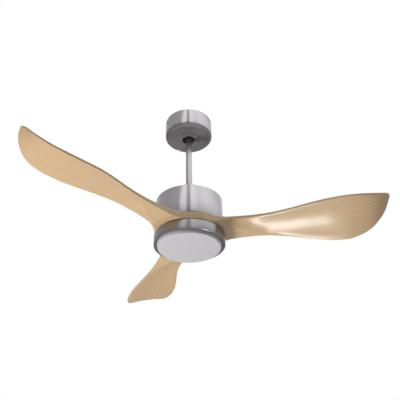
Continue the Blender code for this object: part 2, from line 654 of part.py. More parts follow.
BLADE_STATIONS = (22.7, 59, 70, 83, 93, 103, 115, 127, 140, 165, 190, 220, 250, 280, 310, 345, 385,
                  430, 475, 520, 555, 585, 607, 625, 640, 651, 657, 660)


def stretched(x):
    """Distance from the axis, in metres, of the station at x mm of the rails."""
    place = x * MM
    if place <= HUB_EDGE:
        return place
    drawn = BLADE_STATIONS[-1] * MM
    return HUB_EDGE + (place - HUB_EDGE) * (BLADE_REACH - HUB_EDGE) / (drawn - HUB_EDGE)


def along(rail, x):
    """Smooth value of a rail at x, the slope at each point taken from its neighbours."""
    if x <= rail[0][0]:
        return rail[0][1]
    slopes = []
    for index in range(len(rail)):
        before = rail[max(index - 1, 0)]
        after = rail[min(index + 1, len(rail) - 1)]
        here = rail[index]
        left = (here[1] - before[1]) / (here[0] - before[0]) if here is not before else None
        right = (after[1] - here[1]) / (after[0] - here[0]) if after is not here else None
        if left is None or right is None:
            slopes.append(right if left is None else left)
        elif left * right <= 0:
            slopes.append(0.0)
        else:
            slopes.append(2 * left * right / (left + right))
    for index in range(len(rail) - 1):
        (x0, y0), (x1, y1) = rail[index], rail[index + 1]
        if x <= x1:
            span = x1 - x0
            t = (x - x0) / span
            return ((2 * t ** 3 - 3 * t ** 2 + 1) * y0 + (t ** 3 - 2 * t ** 2 + t) * span * slopes[index]
                    + (3 * t ** 2 - 2 * t ** 3) * y1 + (t ** 3 - t ** 2) * span * slopes[index + 1])
    return rail[-1][1]


def blade_section(x):
    """Ten corners round the blade at x mm: over the top, then back underneath."""
    lead_y, trail_y = along(LEADING_Y, x), along(TRAILING_Y, x)
    lead_top = along(LEADING_TOP, x)
    lead_foot = lead_top - along(LEADING_THICK, x)
    trail_foot = along(TRAILING_FOOT, x)
    trail_top = trail_foot + along(TRAILING_THICK, x)
    share = along(CREASE, x)
    bow = along(CAMBER, x)
    swell = 1.6 * min(1.0, max(0.0, (x - 180) / 120))

    def across(part):
        return lead_y + (trail_y - lead_y) * part

    def mix(a, b, part):
        return a + (b - a) * part

    top_share = 1 - share
    flat_foot = trail_foot if x <= 200 else mix(trail_foot, lead_foot, 0.04)
    flat_top = mix(lead_top, trail_top, 0.04) if x > 200 else lead_top
    crease_foot = flat_foot + bow * 0.15
    crease_top = flat_top + bow * 0.15
    middle_top = (top_share + 1) / 2
    middle_foot = share / 2
    return [
        (lead_y, lead_top), (across(top_share), crease_top),
        (across(middle_top), mix(crease_top, trail_top, 0.5) + bow), (trail_y, trail_top),
        (trail_y + swell, (trail_top + trail_foot) / 2), (trail_y, trail_foot),
        (across(share), crease_foot),
        (across(middle_foot), mix(crease_foot, lead_foot, 0.5) + bow), (lead_y, lead_foot),
        (lead_y - swell, (lead_top + lead_foot) / 2)]


def build_blade(number):
    """One carved blade: skin through its sections, a flat at the hub and at the tip.

    Gives back the cutters of its screw holes, for the plates over and under it.
    """
    screw_holes = []
    shape = bmesh.new()
    rings = []
    for x in BLADE_STATIONS:
        rings.append([shape.verts.new((stretched(x), y * MM, z * MM))
                      for y, z in blade_section(x)])
    for inner, outer in zip(rings, rings[1:]):
        count = len(inner)
        for index in range(count):
            following = (index + 1) % count
            shape.faces.new((inner[index], inner[following], outer[following], outer[index]))
    ends = [shape.faces.new(rings[0]), shape.faces.new(rings[-1])]
    bmesh.ops.poke(shape, faces=ends)
    bmesh.ops.triangulate(shape, faces=shape.faces)
    blade = finish("blade_%d" % number, shape, WOOD, 30.0)
    blade.location = (0, 0, BLADE_PLANE)
    turn = BLADE_PHASE + math.radians(90 + 120 * (number - 1))
    turn_about_axis(blade, turn)
    carrier_top = BLADE_PLANE + HUB_TOP + GAP + CARRIER_THICK
    for label, side in (("a", -1), ("b", 1)):
        reach = math.hypot(BLADE_SCREW_X, BLADE_SCREW_Y)
        lean = turn + side * math.atan2(BLADE_SCREW_Y, BLADE_SCREW_X)
        place = polar(reach, lean, carrier_top + GAP + 3 * MM)
        hole = cutter("blade_hole_cut_%d%s" % (number, label), turned_shape(
            [(0, 0), (BLADE_SCREW_R + GAP, 0), (BLADE_SCREW_R + GAP, -60 * MM),
             (0, -60 * MM)], TINY))
        hole.location = place
        cut(blade, hole)
        screw_holes.append(hole)
        length = place.z - (BLADE_PLANE + HUB_BOTTOM - GAP - CLAMP_THICK) - 0.2 * MM
        screw = turned("blade_screw_%d%s" % (number, label),
                       stud_profile(BLADE_SCREW_R, 4.5 * MM, 3 * MM, length), ZINC, TINY)
        screw.location = place
    return screw_holes


def build_carrier(screw_holes):
    """Plate over the blade roots, tied to the lower rotor cover, and the clamp below."""
    low = BLADE_PLANE + HUB_TOP + GAP
    high = low + CARRIER_THICK
    cover_foot = STATOR_Z - COVER_REACH - COVER_WALL
    boss_top = cover_foot - GAP
    bore = BEARING_R + 5 * MM + 2 * GAP
    carrier = turned("blade_carrier", [
        (bore, boss_top), (bore + 9 * MM, boss_top), (bore + 9 * MM, high),
        (CARRIER_R, high), (CARRIER_R, low), (bore, low)], CAST)
    top = BLADE_PLANE + HUB_BOTTOM - GAP
    clamp = turned("clamp_plate", tube_profile(30 * MM, CLAMP_R, top - CLAMP_THICK, top), ZINC)
    for hole in screw_holes:
        cut(carrier, hole)
        cut(clamp, hole)


# ---- light -------------------------------------------------------------------
def build_light():
    top, foot = RING_TOP, RING_BOTTOM
    wall = RING_WALL
    hole = SHAFT_R + GAP
    edge = 0.8 * MM
    lip_r = RING_R - RING_LIP
    ring = turned("light_ring", [
        (hole, top), (RING_R - edge, top), (RING_R, top - edge), (RING_R, foot + edge),
        (RING_R - edge, foot), (lip_r, foot), (lip_r, foot + wall),
        (RING_R - wall, foot + wall), (RING_R - wall, top - wall), (hole, top - wall)],
        NICKEL, SEEN)
    plate_top = top - wall - GAP
    plate_foot = plate_top - LIGHT_PLATE_THICK
    plate = turned("light_mount_plate", tube_profile(hole, LIGHT_PLATE_R, plate_foot,
                                                     plate_top), ZINC)
    nut_top = plate_foot - GAP
    ring_nut("shaft_nut", LIGHT_NUT_HALF, nut_top - NUT_THICK, nut_top)
    for index in range(3):
        turn = math.radians(30 + 120 * index)
        screw_hole = cutter("ring_screw_cut_%d" % (index + 1), turned_shape(
            [(0, 4 * MM), (LIGHT_SCREW_R + GAP, 4 * MM), (LIGHT_SCREW_R + GAP, -6 * MM),
             (0, -6 * MM)], TINY))
        screw_hole.location = polar(LIGHT_SCREW_RING, turn, top - 1 * MM)
        cut(ring, screw_hole)
        cut(plate, screw_hole)
        screw = turned("light_screw_%d" % (index + 1),
                       stud_profile(LIGHT_SCREW_R, 2 * LIGHT_SCREW_R, 2 * MM, 5.8 * MM), ZINC, TINY)
        aim(screw, polar(LIGHT_SCREW_RING, turn, nut_top - 2 * MM), (0, 0, -1))
        post = turned("board_post_%d" % (index + 1), [
            (0, nut_top), (POST_R, nut_top), (POST_R, BOARD_Z + GAP), (0, BOARD_Z + GAP)],
            ZINC, TINY)
        post.location = polar(POST_RING, turn + math.radians(60))
    box("led_driver", DRIVER_SIZE, (0, DRIVER_Y, nut_top - DRIVER_SIZE[2] / 2 - 0.5 * MM),
        WHITE_PLASTIC, 1.2 * MM)
    build_led_board()
    build_lens()


def build_led_board():
    """Round board with rows of small square light-emitting chips on its underside."""
    thick = 1.6 * MM
    shape = turned_shape([(0, BOARD_Z), (BOARD_R, BOARD_Z), (BOARD_R, BOARD_Z - thick),
                          (0, BOARD_Z - thick)])
    chips = []
    for count, radius in LED_ROWS:
        for index in range(count):
            turn = math.tau * index / count
            chip = box_shape((3 * MM, 3 * MM, 1.2 * MM), (0, 0, 0))
            bmesh.ops.rotate(chip, verts=chip.verts, cent=(0, 0, 0),
                             matrix=Matrix.Rotation(turn, 3, 'Z'))
            bmesh.ops.translate(chip, verts=chip.verts,
                                vec=polar(radius, turn, BOARD_Z - thick - 0.4 * MM))
            chips.append(chip)
    board = finish("led_board", shape, BOARD)
    joined = bmesh.new()
    for chip in chips:
        mesh = bpy.data.meshes.new("chip")
        chip.to_mesh(mesh)
        chip.free()
        joined.from_mesh(mesh)
        bpy.data.meshes.remove(mesh)
    tool = cutter("chip_shape", joined)
    step = cut(board, tool)
    step.operation = 'UNION'


def build_lens():
    """Opal cup that twists into the ring: leaning wall, rounded edge, barely domed face."""
    outer_r = RING_R - RING_LIP - LENS_PLAY
    rim = RING_BOTTOM + LENS_RIM_UP
    tab_foot = rim - TAB_THICK
    foot = RING_BOTTOM - LENS_DROP
    edge = LENS_EDGE
    wall = LENS_WALL
    dome = LENS_DOME
    face_r = outer_r - LENS_TAPER
    outside = [(outer_r, rim), (outer_r, tab_foot), (outer_r, RING_BOTTOM)]
    outside += arc(face_r - edge, foot + dome + edge, edge, 0, -84, 4)
    outside += [(face_r * 0.55, foot + 0.25 * dome), (0, foot)]
    inside = [(0, foot + wall), (face_r * 0.55, foot + wall + 0.25 * dome)]
    inside += arc(face_r - edge, foot + dome + edge, edge - wall, -84, 0, 2)
    inside += [(outer_r - wall, RING_BOTTOM), (outer_r - wall, tab_foot), (outer_r - wall, rim)]
    shape = turned_shape(outside + inside, SEEN)
    shape.faces.ensure_lookup_table()
    tabs = []
    for face in shape.faces:
        middle = face.calc_center_median()
        on_wall = middle.xy.length > outer_r - 0.5 * wall and middle.z > tab_foot + 1e-6
        turn = math.atan2(middle.y, middle.x) % (math.tau / 3)
        if on_wall and middle.z < rim - 1e-6 and turn < LENS_TAB_SPAN:
            tabs.append(face)
    raised = bmesh.ops.extrude_face_region(shape, geom=tabs)
    for part in raised["geom"]:
        if isinstance(part, bmesh.types.BMVert):
            flat = part.co.xy.normalized() * (outer_r + TAB_REACH)
            part.co.x, part.co.y = flat
    bmesh.ops.delete(shape, geom=[face for face in tabs if face.is_valid], context='FACES_ONLY')
    lens = finish("opal_lens", shape, OPAL)
    clip_in = outer_r + 0.8 * MM
    clip_out = RING_R - RING_WALL - GAP
    for index in range(3):
        low = tab_foot - GAP - TAB_THICK
        outline = []
        steps = 4
        for step in range(steps + 1):
            outline.append(polar(clip_out, LENS_TAB_SPAN * step / steps))
        for step in range(steps, -1, -1):
            outline.append(polar(clip_in, LENS_TAB_SPAN * step / steps))
        clip = prism("lens_clip_%d" % (index + 1), [(spot.x, spot.y) for spot in outline],
                     low, low + TAB_THICK, ZINC)
        turn_about_axis(clip, math.tau * index / 3)
    return lens


build_bracket()
build_cradle()
build_canopy()
build_canopy_wiring()
build_ball()
build_rod()
build_coupling()
build_coupling_cover()
build_housing()
build_stator()
build_rotor()
blade_holes = []
for blade_number in (1, 2, 3):
    blade_holes += build_blade(blade_number)
build_carrier(blade_holes)
build_light()
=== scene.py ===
import json
import math

import bmesh
import bpy
from mathutils import Matrix, Vector


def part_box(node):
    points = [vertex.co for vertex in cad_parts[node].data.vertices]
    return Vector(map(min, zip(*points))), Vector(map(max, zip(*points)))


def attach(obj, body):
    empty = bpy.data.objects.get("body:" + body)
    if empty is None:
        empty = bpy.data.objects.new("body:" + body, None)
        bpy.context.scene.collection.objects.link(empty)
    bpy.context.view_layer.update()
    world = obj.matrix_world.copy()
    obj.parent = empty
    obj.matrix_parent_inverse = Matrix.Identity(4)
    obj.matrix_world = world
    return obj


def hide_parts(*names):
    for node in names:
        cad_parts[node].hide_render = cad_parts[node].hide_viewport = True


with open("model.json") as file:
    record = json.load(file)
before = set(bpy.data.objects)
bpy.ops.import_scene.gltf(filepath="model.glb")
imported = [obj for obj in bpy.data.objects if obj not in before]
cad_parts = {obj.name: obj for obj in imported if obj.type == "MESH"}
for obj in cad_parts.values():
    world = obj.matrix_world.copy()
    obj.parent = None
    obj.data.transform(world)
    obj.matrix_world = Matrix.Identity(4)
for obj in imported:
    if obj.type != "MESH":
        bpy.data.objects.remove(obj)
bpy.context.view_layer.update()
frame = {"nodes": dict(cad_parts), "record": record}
nodes = frame["nodes"]
slotOf = {part["node"]: part["material_slot"] for part in frame["record"]["subparts"]}
mm = 0.001
print("frame loaded:", len(nodes), "nodes")


def toLinear(hexColour):
    # sRGB hex to the linear colour a shader socket takes
    parts = [int(hexColour[i:i + 2], 16) / 255 for i in (0, 2, 4)]
    parts = [p / 12.92 if p <= 0.04045 else ((p + 0.055) / 1.055) ** 2.4 for p in parts]
    return (*parts, 1.0)


def addNode(tree, kind, settings=None, links=None):
    # one node with its settings, and links given as {its socket: the socket that feeds it}
    node = tree.nodes.new(kind)
    for key, value in (settings or {}).items():
        if isinstance(key, int) or key in node.inputs:
            node.inputs[key].default_value = value
        else:
            setattr(node, key, value)
    for key, source in (links or {}).items():
        tree.links.new(source, node.inputs[key])
    return node


def newFinish(name, colour, settings):
    # a Principled material, ready for its pattern
    finish = bpy.data.materials.new(name)
    finish.use_nodes = True
    tree = finish.node_tree
    shader = tree.nodes["Principled BSDF"]
    shader.inputs["Base Color"].default_value = toLinear(colour)
    for key, value in settings.items():
        shader.inputs[key].default_value = value
    return finish, tree, shader


def blendColours(tree, share, first, second):
    # colour that goes from first to second as share goes from 0 to 1
    mixer = addNode(tree, "ShaderNodeMix", {"data_type": "RGBA"}, {0: share})
    mixer.inputs[6].default_value = toLinear(first)
    mixer.inputs[7].default_value = toLinear(second)
    return mixer.outputs[2]


def spread(tree, value, low, high):
    # moves a 0 to 1 value into low to high
    node = addNode(tree, "ShaderNodeMapRange", {"To Min": low, "To Max": high}, {"Value": value})
    return node.outputs["Result"]


def placeBox(name):
    low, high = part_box(name)
    return Vector(low), Vector(high)


belt = {"lean": 1.37, "fine": 830 / 14, "scale": 14.0, "worn": 0.06}


def makeBrushedNickel(name, shade, light, metallic=1.0, rough=0.16):
    # Brushed nickel plate over a spun steel cup: the belt leaves fine rings round the axis, so
    # a lamp shows as a tall soft band. Real scratches are 0.2 mm wide, drawn 1.2 mm.
    finish, tree, shader = newFinish(name, light, {
        "Metallic": metallic, "Roughness": rough + belt["worn"], "Anisotropic": 0.85,
        "Anisotropic Rotation": 0.25})
    place = addNode(tree, "ShaderNodeTexCoord").outputs["Object"]
    parts = addNode(tree, "ShaderNodeSeparateXYZ", None, {0: place})
    flat = addNode(tree, "ShaderNodeCombineXYZ", None, {0: parts.outputs[0], 1: parts.outputs[1]})
    radius = addNode(tree, "ShaderNodeVectorMath", {"operation": "LENGTH"}, {0: flat.outputs[0]})
    across = addNode(tree, "ShaderNodeMath", {"operation": "MULTIPLY_ADD", 1: belt["lean"]},
                     {0: radius.outputs["Value"], 2: parts.outputs[2]})
    deep = addNode(tree, "ShaderNodeMath", {"operation": "MULTIPLY", 1: belt["fine"]},
                   {0: across.outputs[0]})
    ringed = addNode(tree, "ShaderNodeCombineXYZ", None,
                     {0: parts.outputs[0], 1: parts.outputs[1], 2: deep.outputs[0]})
    lines = addNode(tree, "ShaderNodeTexNoise", {
        "Scale": belt["scale"], "Detail": 3.0, "Roughness": 0.65}, {"Vector": ringed.outputs[0]})
    smears = addNode(tree, "ShaderNodeTexNoise", {"Scale": 18.0, "Detail": 2.0}, {"Vector": place})
    colour = blendColours(tree, lines.outputs["Fac"], shade, light)
    tree.links.new(colour, shader.inputs["Base Color"])
    worn = spread(tree, smears.outputs["Fac"], rough, rough + belt["worn"])
    scratched = addNode(tree, "ShaderNodeMath", {"operation": "MULTIPLY_ADD", 1: belt["worn"]},
                        {0: lines.outputs["Fac"], 2: worn})
    tree.links.new(scratched.outputs[0], shader.inputs["Roughness"])
    bump = addNode(tree, "ShaderNodeBump", {"Strength": 0.08, "Distance": 0.00005},
                   {"Height": lines.outputs["Fac"]})
    tree.links.new(bump.outputs[0], shader.inputs["Normal"])
    around = addNode(tree, "ShaderNodeTangent", {"direction_type": "RADIAL", "axis": "Z"})
    tree.links.new(around.outputs[0], shader.inputs["Tangent"])
    return finish


def makeGreySatin():
    # Grey satin enamel sprayed on a steel disc: even colour, soft reflections, faint orange peel
    # about 2 mm across. The grey is also kept dark as painted shade, for the dark floor the disc
    # reflects.
    finish, tree, shader = newFinish("greySatinEnamelAndShade", look["discGrey"], {
        "Metallic": 0.1, "Roughness": 0.36, "Coat Weight": 0.15, "Coat Roughness": 0.12})
    place = addNode(tree, "ShaderNodeTexCoord").outputs["Object"]
    peel = addNode(tree, "ShaderNodeTexNoise", {"Scale": 480.0, "Detail": 1.5}, {"Vector": place})
    cloud = addNode(tree, "ShaderNodeTexNoise", {"Scale": 22.0, "Detail": 3.0}, {"Vector": place})
    colour = blendColours(tree, cloud.outputs["Fac"], look["discGreyDark"], look["discGreyLight"])
    tree.links.new(colour, shader.inputs["Base Color"])
    tree.links.new(spread(tree, cloud.outputs["Fac"], 0.24, 0.36), shader.inputs["Roughness"])
    bump = addNode(tree, "ShaderNodeBump", {"Strength": 0.2, "Distance": 0.00008},
                   {"Height": peel.outputs["Fac"]})
    tree.links.new(bump.outputs[0], shader.inputs["Normal"])
    return finish


def makePaleWood():
    # Carved ash under clear satin lacquer: growth rings cut lengthwise give long flames, pores
    # give short dark dashes, the lacquer a soft sheen. Rings are about 6 mm apart, pores 0.3 mm
    # wide, drawn 1 mm. The piece's own woodPlace attribute runs along the blade.
    finish, tree, shader = newFinish("lacqueredAsh", look["wood"], {
        "Roughness": 0.45, "IOR": 1.5, "Coat Weight": 0.55, "Coat Roughness": 0.17})
    place = addNode(tree, "ShaderNodeAttribute", {"attribute_name": "woodPlace"}).outputs["Vector"]
    stretched = addNode(tree, "ShaderNodeMapping", {"Scale": (0.055, 1.0, 1.0)}, {"Vector": place})
    warp = addNode(tree, "ShaderNodeTexNoise", {"Scale": 34.0, "Detail": 3.0, "Roughness": 0.55},
                   {"Vector": stretched.outputs[0]})
    shift = addNode(tree, "ShaderNodeVectorMath", {"operation": "SCALE", "Scale": 0.030},
                    {0: warp.outputs["Color"]})
    moved = addNode(tree, "ShaderNodeVectorMath", {"operation": "ADD"},
                    {0: stretched.outputs[0], 1: shift.outputs[0]})
    rings = addNode(tree, "ShaderNodeTexWave", {
        "wave_type": "RINGS", "rings_direction": "X", "wave_profile": "SAW", "Scale": 26.0,
        "Distortion": 1.2, "Detail": 2.0, "Detail Scale": 1.5}, {"Vector": moved.outputs[0]})
    streaks = addNode(tree, "ShaderNodeTexNoise", {"Scale": 300.0, "Detail": 4.0, "Roughness": 0.6},
                      {"Vector": stretched.outputs[0]})
    longer = addNode(tree, "ShaderNodeMapping", {"Scale": (0.09, 1.0, 1.0)}, {"Vector": place})
    pores = addNode(tree, "ShaderNodeTexNoise", {"Scale": 900.0, "Detail": 1.0},
                    {"Vector": longer.outputs[0]})
    pits = addNode(tree, "ShaderNodeMapRange", {"From Min": 0.62, "From Max": 0.78},
                   {"Value": pores.outputs["Fac"]})
    growth = addNode(tree, "ShaderNodeMath", {"operation": "MULTIPLY_ADD", 1: 0.45},
                     {0: rings.outputs["Fac"], 2: spread(tree, streaks.outputs["Fac"], -0.2, 0.75)})
    growth.use_clamp = True
    base = addNode(tree, "ShaderNodeMix", {"data_type": "RGBA"}, {0: growth.outputs[0]})
    base.inputs[6].default_value = toLinear(look["woodLight"])
    base.inputs[7].default_value = toLinear(look["woodDark"])
    poreShare = addNode(tree, "ShaderNodeMath", {"operation": "MULTIPLY", 1: 0.35},
                        {0: pits.outputs["Result"]})
    marked = addNode(tree, "ShaderNodeMix", {"data_type": "RGBA"},
                     {0: poreShare.outputs[0], 6: base.outputs[2]})
    marked.inputs[7].default_value = toLinear(look["woodPore"])
    tree.links.new(marked.outputs[2], shader.inputs["Base Color"])
    tree.links.new(spread(tree, streaks.outputs["Fac"], 0.34, 0.5), shader.inputs["Roughness"])
    depth = addNode(tree, "ShaderNodeMath", {"operation": "MULTIPLY_ADD", 1: -0.6},
                    {0: pits.outputs["Result"], 2: streaks.outputs["Fac"]})
    bump = addNode(tree, "ShaderNodeBump", {"Strength": 0.25, "Distance": 0.0002},
                   {"Height": depth.outputs[0]})
    tree.links.new(bump.outputs[0], shader.inputs["Normal"])
    return finish


def makeOpalAcrylic():
    # Opal acrylic, injection moulded with a fine spark-eroded face: milky, lit through at its
    # edge, soft highlight. The erosion grain is 0.1 mm, drawn 0.8 mm.
    finish, tree, shader = newFinish("opalAcrylic", look["opal"], {
        "Roughness": 0.32, "IOR": 1.49, "Subsurface Weight": 0.12, "Subsurface Scale": 0.004,
        "Coat Weight": 0.7, "Coat Roughness": 0.06})
    place = addNode(tree, "ShaderNodeTexCoord").outputs["Object"]
    grain = addNode(tree, "ShaderNodeTexNoise", {"Scale": 1250.0, "Detail": 1.0}, {"Vector": place})
    milk = addNode(tree, "ShaderNodeTexNoise", {"Scale": 16.0, "Detail": 2.0}, {"Vector": place})
    colour = blendColours(tree, milk.outputs["Fac"], look["opalShade"], look["opal"])
    tree.links.new(colour, shader.inputs["Base Color"])
    tree.links.new(spread(tree, grain.outputs["Fac"], 0.27, 0.4), shader.inputs["Roughness"])
    bump = addNode(tree, "ShaderNodeBump", {"Strength": 0.12, "Distance": 0.00006},
                   {"Height": grain.outputs["Fac"]})
    tree.links.new(bump.outputs[0], shader.inputs["Normal"])
    return finish


def makeZincSteel():
    # Pressed steel, zinc plated and clear passivated: bluish silver with a faint yellow cast in
    # patches about 15 mm wide, and rolling marks 0.5 mm apart.
    finish, tree, shader = newFinish("zincPlatedSteel", "9ba0a6", {
        "Metallic": 1.0, "Roughness": 0.36})
    place = addNode(tree, "ShaderNodeTexCoord").outputs["Object"]
    patches = addNode(tree, "ShaderNodeTexNoise", {"Scale": 66.0, "Detail": 3.0}, {"Vector": place})
    rolled = addNode(tree, "ShaderNodeMapping", {"Scale": (0.05, 1.0, 1.0)}, {"Vector": place})
    marks = addNode(tree, "ShaderNodeTexNoise", {"Scale": 1400.0, "Detail": 2.0},
                    {"Vector": rolled.outputs[0]})
    colour = blendColours(tree, patches.outputs["Fac"], "8d939c", "b3b0a4")
    tree.links.new(colour, shader.inputs["Base Color"])
    tree.links.new(spread(tree, marks.outputs["Fac"], 0.26, 0.48), shader.inputs["Roughness"])
    bump = addNode(tree, "ShaderNodeBump", {"Strength": 0.15, "Distance": 0.0001},
                   {"Height": marks.outputs["Fac"]})
    tree.links.new(bump.outputs[0], shader.inputs["Normal"])
    return finish


def makeCastAluminium():
    # Pressure die-cast aluminium: pale grey, matt skin with 1 mm flow texture and darker swirls.
    finish, tree, shader = newFinish("dieCastAluminium", "a2a5a8", {
        "Metallic": 1.0, "Roughness": 0.5})
    place = addNode(tree, "ShaderNodeTexCoord").outputs["Object"]
    skin = addNode(tree, "ShaderNodeTexNoise", {"Scale": 1000.0, "Detail": 3.0}, {"Vector": place})
    swirl = addNode(tree, "ShaderNodeTexNoise", {"Scale": 30.0, "Detail": 4.0, "Distortion": 1.5},
                    {"Vector": place})
    colour = blendColours(tree, swirl.outputs["Fac"], "85888c", "b4b7b9")
    tree.links.new(colour, shader.inputs["Base Color"])
    tree.links.new(spread(tree, swirl.outputs["Fac"], 0.42, 0.62), shader.inputs["Roughness"])
    bump = addNode(tree, "ShaderNodeBump", {"Strength": 0.3, "Distance": 0.00015},
                   {"Height": skin.outputs["Fac"]})
    tree.links.new(bump.outputs[0], shader.inputs["Normal"])
    return finish


def makeLaminations():
    # Stacked silicon-steel sheets 0.5 mm thick, dipped in varnish: fine level lines, brown-grey.
    finish, tree, shader = newFinish("siliconSteelStack", "4c4f55", {
        "Metallic": 0.85, "Roughness": 0.45, "Coat Weight": 0.2, "Coat Roughness": 0.3})
    place = addNode(tree, "ShaderNodeTexCoord").outputs["Object"]
    sheets = addNode(tree, "ShaderNodeTexWave", {
        "wave_type": "BANDS", "bands_direction": "Z", "Scale": 320.0, "Distortion": 0.3},
        {"Vector": place})
    colour = blendColours(tree, sheets.outputs["Fac"], "33343a", "62646a")
    tree.links.new(colour, shader.inputs["Base Color"])
    tree.links.new(spread(tree, sheets.outputs["Fac"], 0.38, 0.55), shader.inputs["Roughness"])
    bump = addNode(tree, "ShaderNodeBump", {"Strength": 0.4, "Distance": 0.0001},
                   {"Height": sheets.outputs["Fac"]})
    tree.links.new(bump.outputs[0], shader.inputs["Normal"])
    return finish


def makeCopperWinding():
    # Enamelled copper wire 0.8 mm thick laid round the core: glossy amber turns side by side.
    finish, tree, shader = newFinish("enamelledCopper", "b4622a", {
        "Metallic": 0.8, "Roughness": 0.28, "Coat Weight": 0.5, "Coat Roughness": 0.12})
    place = addNode(tree, "ShaderNodeTexCoord").outputs["Object"]
    turns = addNode(tree, "ShaderNodeTexWave", {
        "wave_type": "RINGS", "rings_direction": "Z", "Scale": 190.0, "Distortion": 1.4,
        "Detail": 1.0}, {"Vector": place})
    colour = blendColours(tree, turns.outputs["Fac"], "7c3a14", "c97a3b")
    tree.links.new(colour, shader.inputs["Base Color"])
    tree.links.new(spread(tree, turns.outputs["Fac"], 0.22, 0.42), shader.inputs["Roughness"])
    bump = addNode(tree, "ShaderNodeBump", {"Strength": 0.6, "Distance": 0.0004},
                   {"Height": turns.outputs["Fac"]})
    tree.links.new(bump.outputs[0], shader.inputs["Normal"])
    return finish


def makeSpeckled(name, dark, light, rough, grainSize, metallic=0.0):
    # A plain fine-grained finish: the colour and the roughness follow the same grain
    finish, tree, shader = newFinish(name, light, {"Metallic": metallic, "Roughness": rough})
    place = addNode(tree, "ShaderNodeTexCoord").outputs["Object"]
    grain = addNode(tree, "ShaderNodeTexNoise", {"Scale": 1 / grainSize, "Detail": 3.0},
                    {"Vector": place})
    colour = blendColours(tree, grain.outputs["Fac"], dark, light)
    tree.links.new(colour, shader.inputs["Base Color"])
    tree.links.new(spread(tree, grain.outputs["Fac"], rough - 0.06, rough + 0.08),
                   shader.inputs["Roughness"])
    bump = addNode(tree, "ShaderNodeBump", {"Strength": 0.2, "Distance": grainSize * 0.12},
                   {"Height": grain.outputs["Fac"]})
    tree.links.new(bump.outputs[0], shader.inputs["Normal"])
    return finish


def makeTurnedMetal(name, dark, light, rough):
    # Metal turned or ground round its own axis: rings 0.4 mm apart, drawn 0.8 mm
    finish, tree, shader = newFinish(name, light, {"Metallic": 1.0, "Roughness": rough})
    place = addNode(tree, "ShaderNodeTexCoord").outputs["Object"]
    squeezed = addNode(tree, "ShaderNodeMapping", {"Scale": (0.08, 0.08, 1.0)}, {"Vector": place})
    marks = addNode(tree, "ShaderNodeTexNoise", {"Scale": 1250.0, "Detail": 2.0},
                    {"Vector": squeezed.outputs[0]})
    colour = blendColours(tree, marks.outputs["Fac"], dark, light)
    tree.links.new(colour, shader.inputs["Base Color"])
    tree.links.new(spread(tree, marks.outputs["Fac"], rough - 0.06, rough + 0.1),
                   shader.inputs["Roughness"])
    bump = addNode(tree, "ShaderNodeBump", {"Strength": 0.15, "Distance": 0.00005},
                   {"Height": marks.outputs["Fac"]})
    tree.links.new(bump.outputs[0], shader.inputs["Normal"])
    return finish


def makeWhiteBoard():
    # Light board: white solder mask, and the chips under it in yellow phosphor. The chips stand
    # below the mask, so their height tells them apart.
    finish, tree, shader = newFinish("whiteSolderMask", "e9e9e4", {
        "Roughness": 0.4, "Coat Weight": 0.2, "Coat Roughness": 0.2})
    place = addNode(tree, "ShaderNodeTexCoord").outputs["Object"]
    parts = addNode(tree, "ShaderNodeSeparateXYZ", None, {0: place})
    low, high = placeBox("led_board")
    chip = addNode(tree, "ShaderNodeMath", {"operation": "LESS_THAN", 1: low.z + 0.7 * mm},
                   {0: parts.outputs[2]})
    weave = addNode(tree, "ShaderNodeTexNoise", {"Scale": 700.0, "Detail": 2.0}, {"Vector": place})
    mask = blendColours(tree, weave.outputs["Fac"], "dcdcd6", "f0f0ec")
    mixed = addNode(tree, "ShaderNodeMix", {"data_type": "RGBA"}, {0: chip.outputs[0], 6: mask})
    mixed.inputs[7].default_value = toLinear("e3c94a")
    tree.links.new(mixed.outputs[2], shader.inputs["Base Color"])
    tree.links.new(spread(tree, weave.outputs["Fac"], 0.34, 0.5), shader.inputs["Roughness"])
    return finish


look = {  # colours of the seen finishes
    "nickelShade": "b2afb2", "nickelLight": "c9c6c9",
    # the ring colours are the nickel made darker, a painted shade for the ring's dimmer reflections
    # under the blades
    "ringPaintedShadeDark": "949295", "ringPaintedShadeLight": "a9a7aa",
    # the disc greys are partly painted shade, kept dark for the dark floor the disc reflects
    "discGrey": "747275", "discGreyDark": "6b696c", "discGreyLight": "7c7a7d",
    "wood": "e0bf97", "woodLight": "e9c99f", "woodDark": "d2ae80", "woodPore": "a27c52",
    "opal": "d9d6d9", "opalShade": "d3d0d4",
}
finishes = {
    "brushed_nickel": makeBrushedNickel("brushedNickel", look["nickelShade"],
                                        look["nickelLight"]),
    "grey_satin": makeGreySatin(),
    "pale_wood": makePaleWood(),
    "opal_acrylic": makeOpalAcrylic(),
    "zinc_steel": makeZincSteel(),
    "cast_aluminium": makeCastAluminium(),
    "silicon_steel": makeLaminations(),
    "copper_winding": makeCopperWinding(),
    # Sintered ferrite: matt charcoal with a fine sparkle
    "ferrite": makeSpeckled("sinteredFerrite", "1f1f21", "38383b", 0.62, 0.6 * mm),
    # Glass-filled nylon, moulded: black, slightly streaky and dull
    "black_nylon": makeSpeckled("mouldedNylon", "141414", "232323", 0.5, 0.9 * mm),
    # Flame-retardant ABS, moulded: warm white with a fine leather grain
    "white_plastic": makeSpeckled("mouldedAbs", "dcdad3", "eceae4", 0.45, 1.0 * mm),
    # Turned brass: yellow, with ring marks
    "brass": makeTurnedMetal("turnedBrass", "b08b3c", "d2b063", 0.28),
    "white_board": makeWhiteBoard(),
    # Nickel-plated screw steel: bright and slightly warm
    "nickel_screw": makeTurnedMetal("platedScrewSteel", "bcb9b8", "dad7d5", 0.2),
    # Ground bearing steel: bright rings
    "bearing_steel": makeTurnedMetal("groundSteel", "a9abb0", "c9cbce", 0.2),
}
for name, node in nodes.items():
    node.data.materials.clear()
    node.data.materials.append(finishes[slotOf[name]])
print("finishes made:", len(finishes))


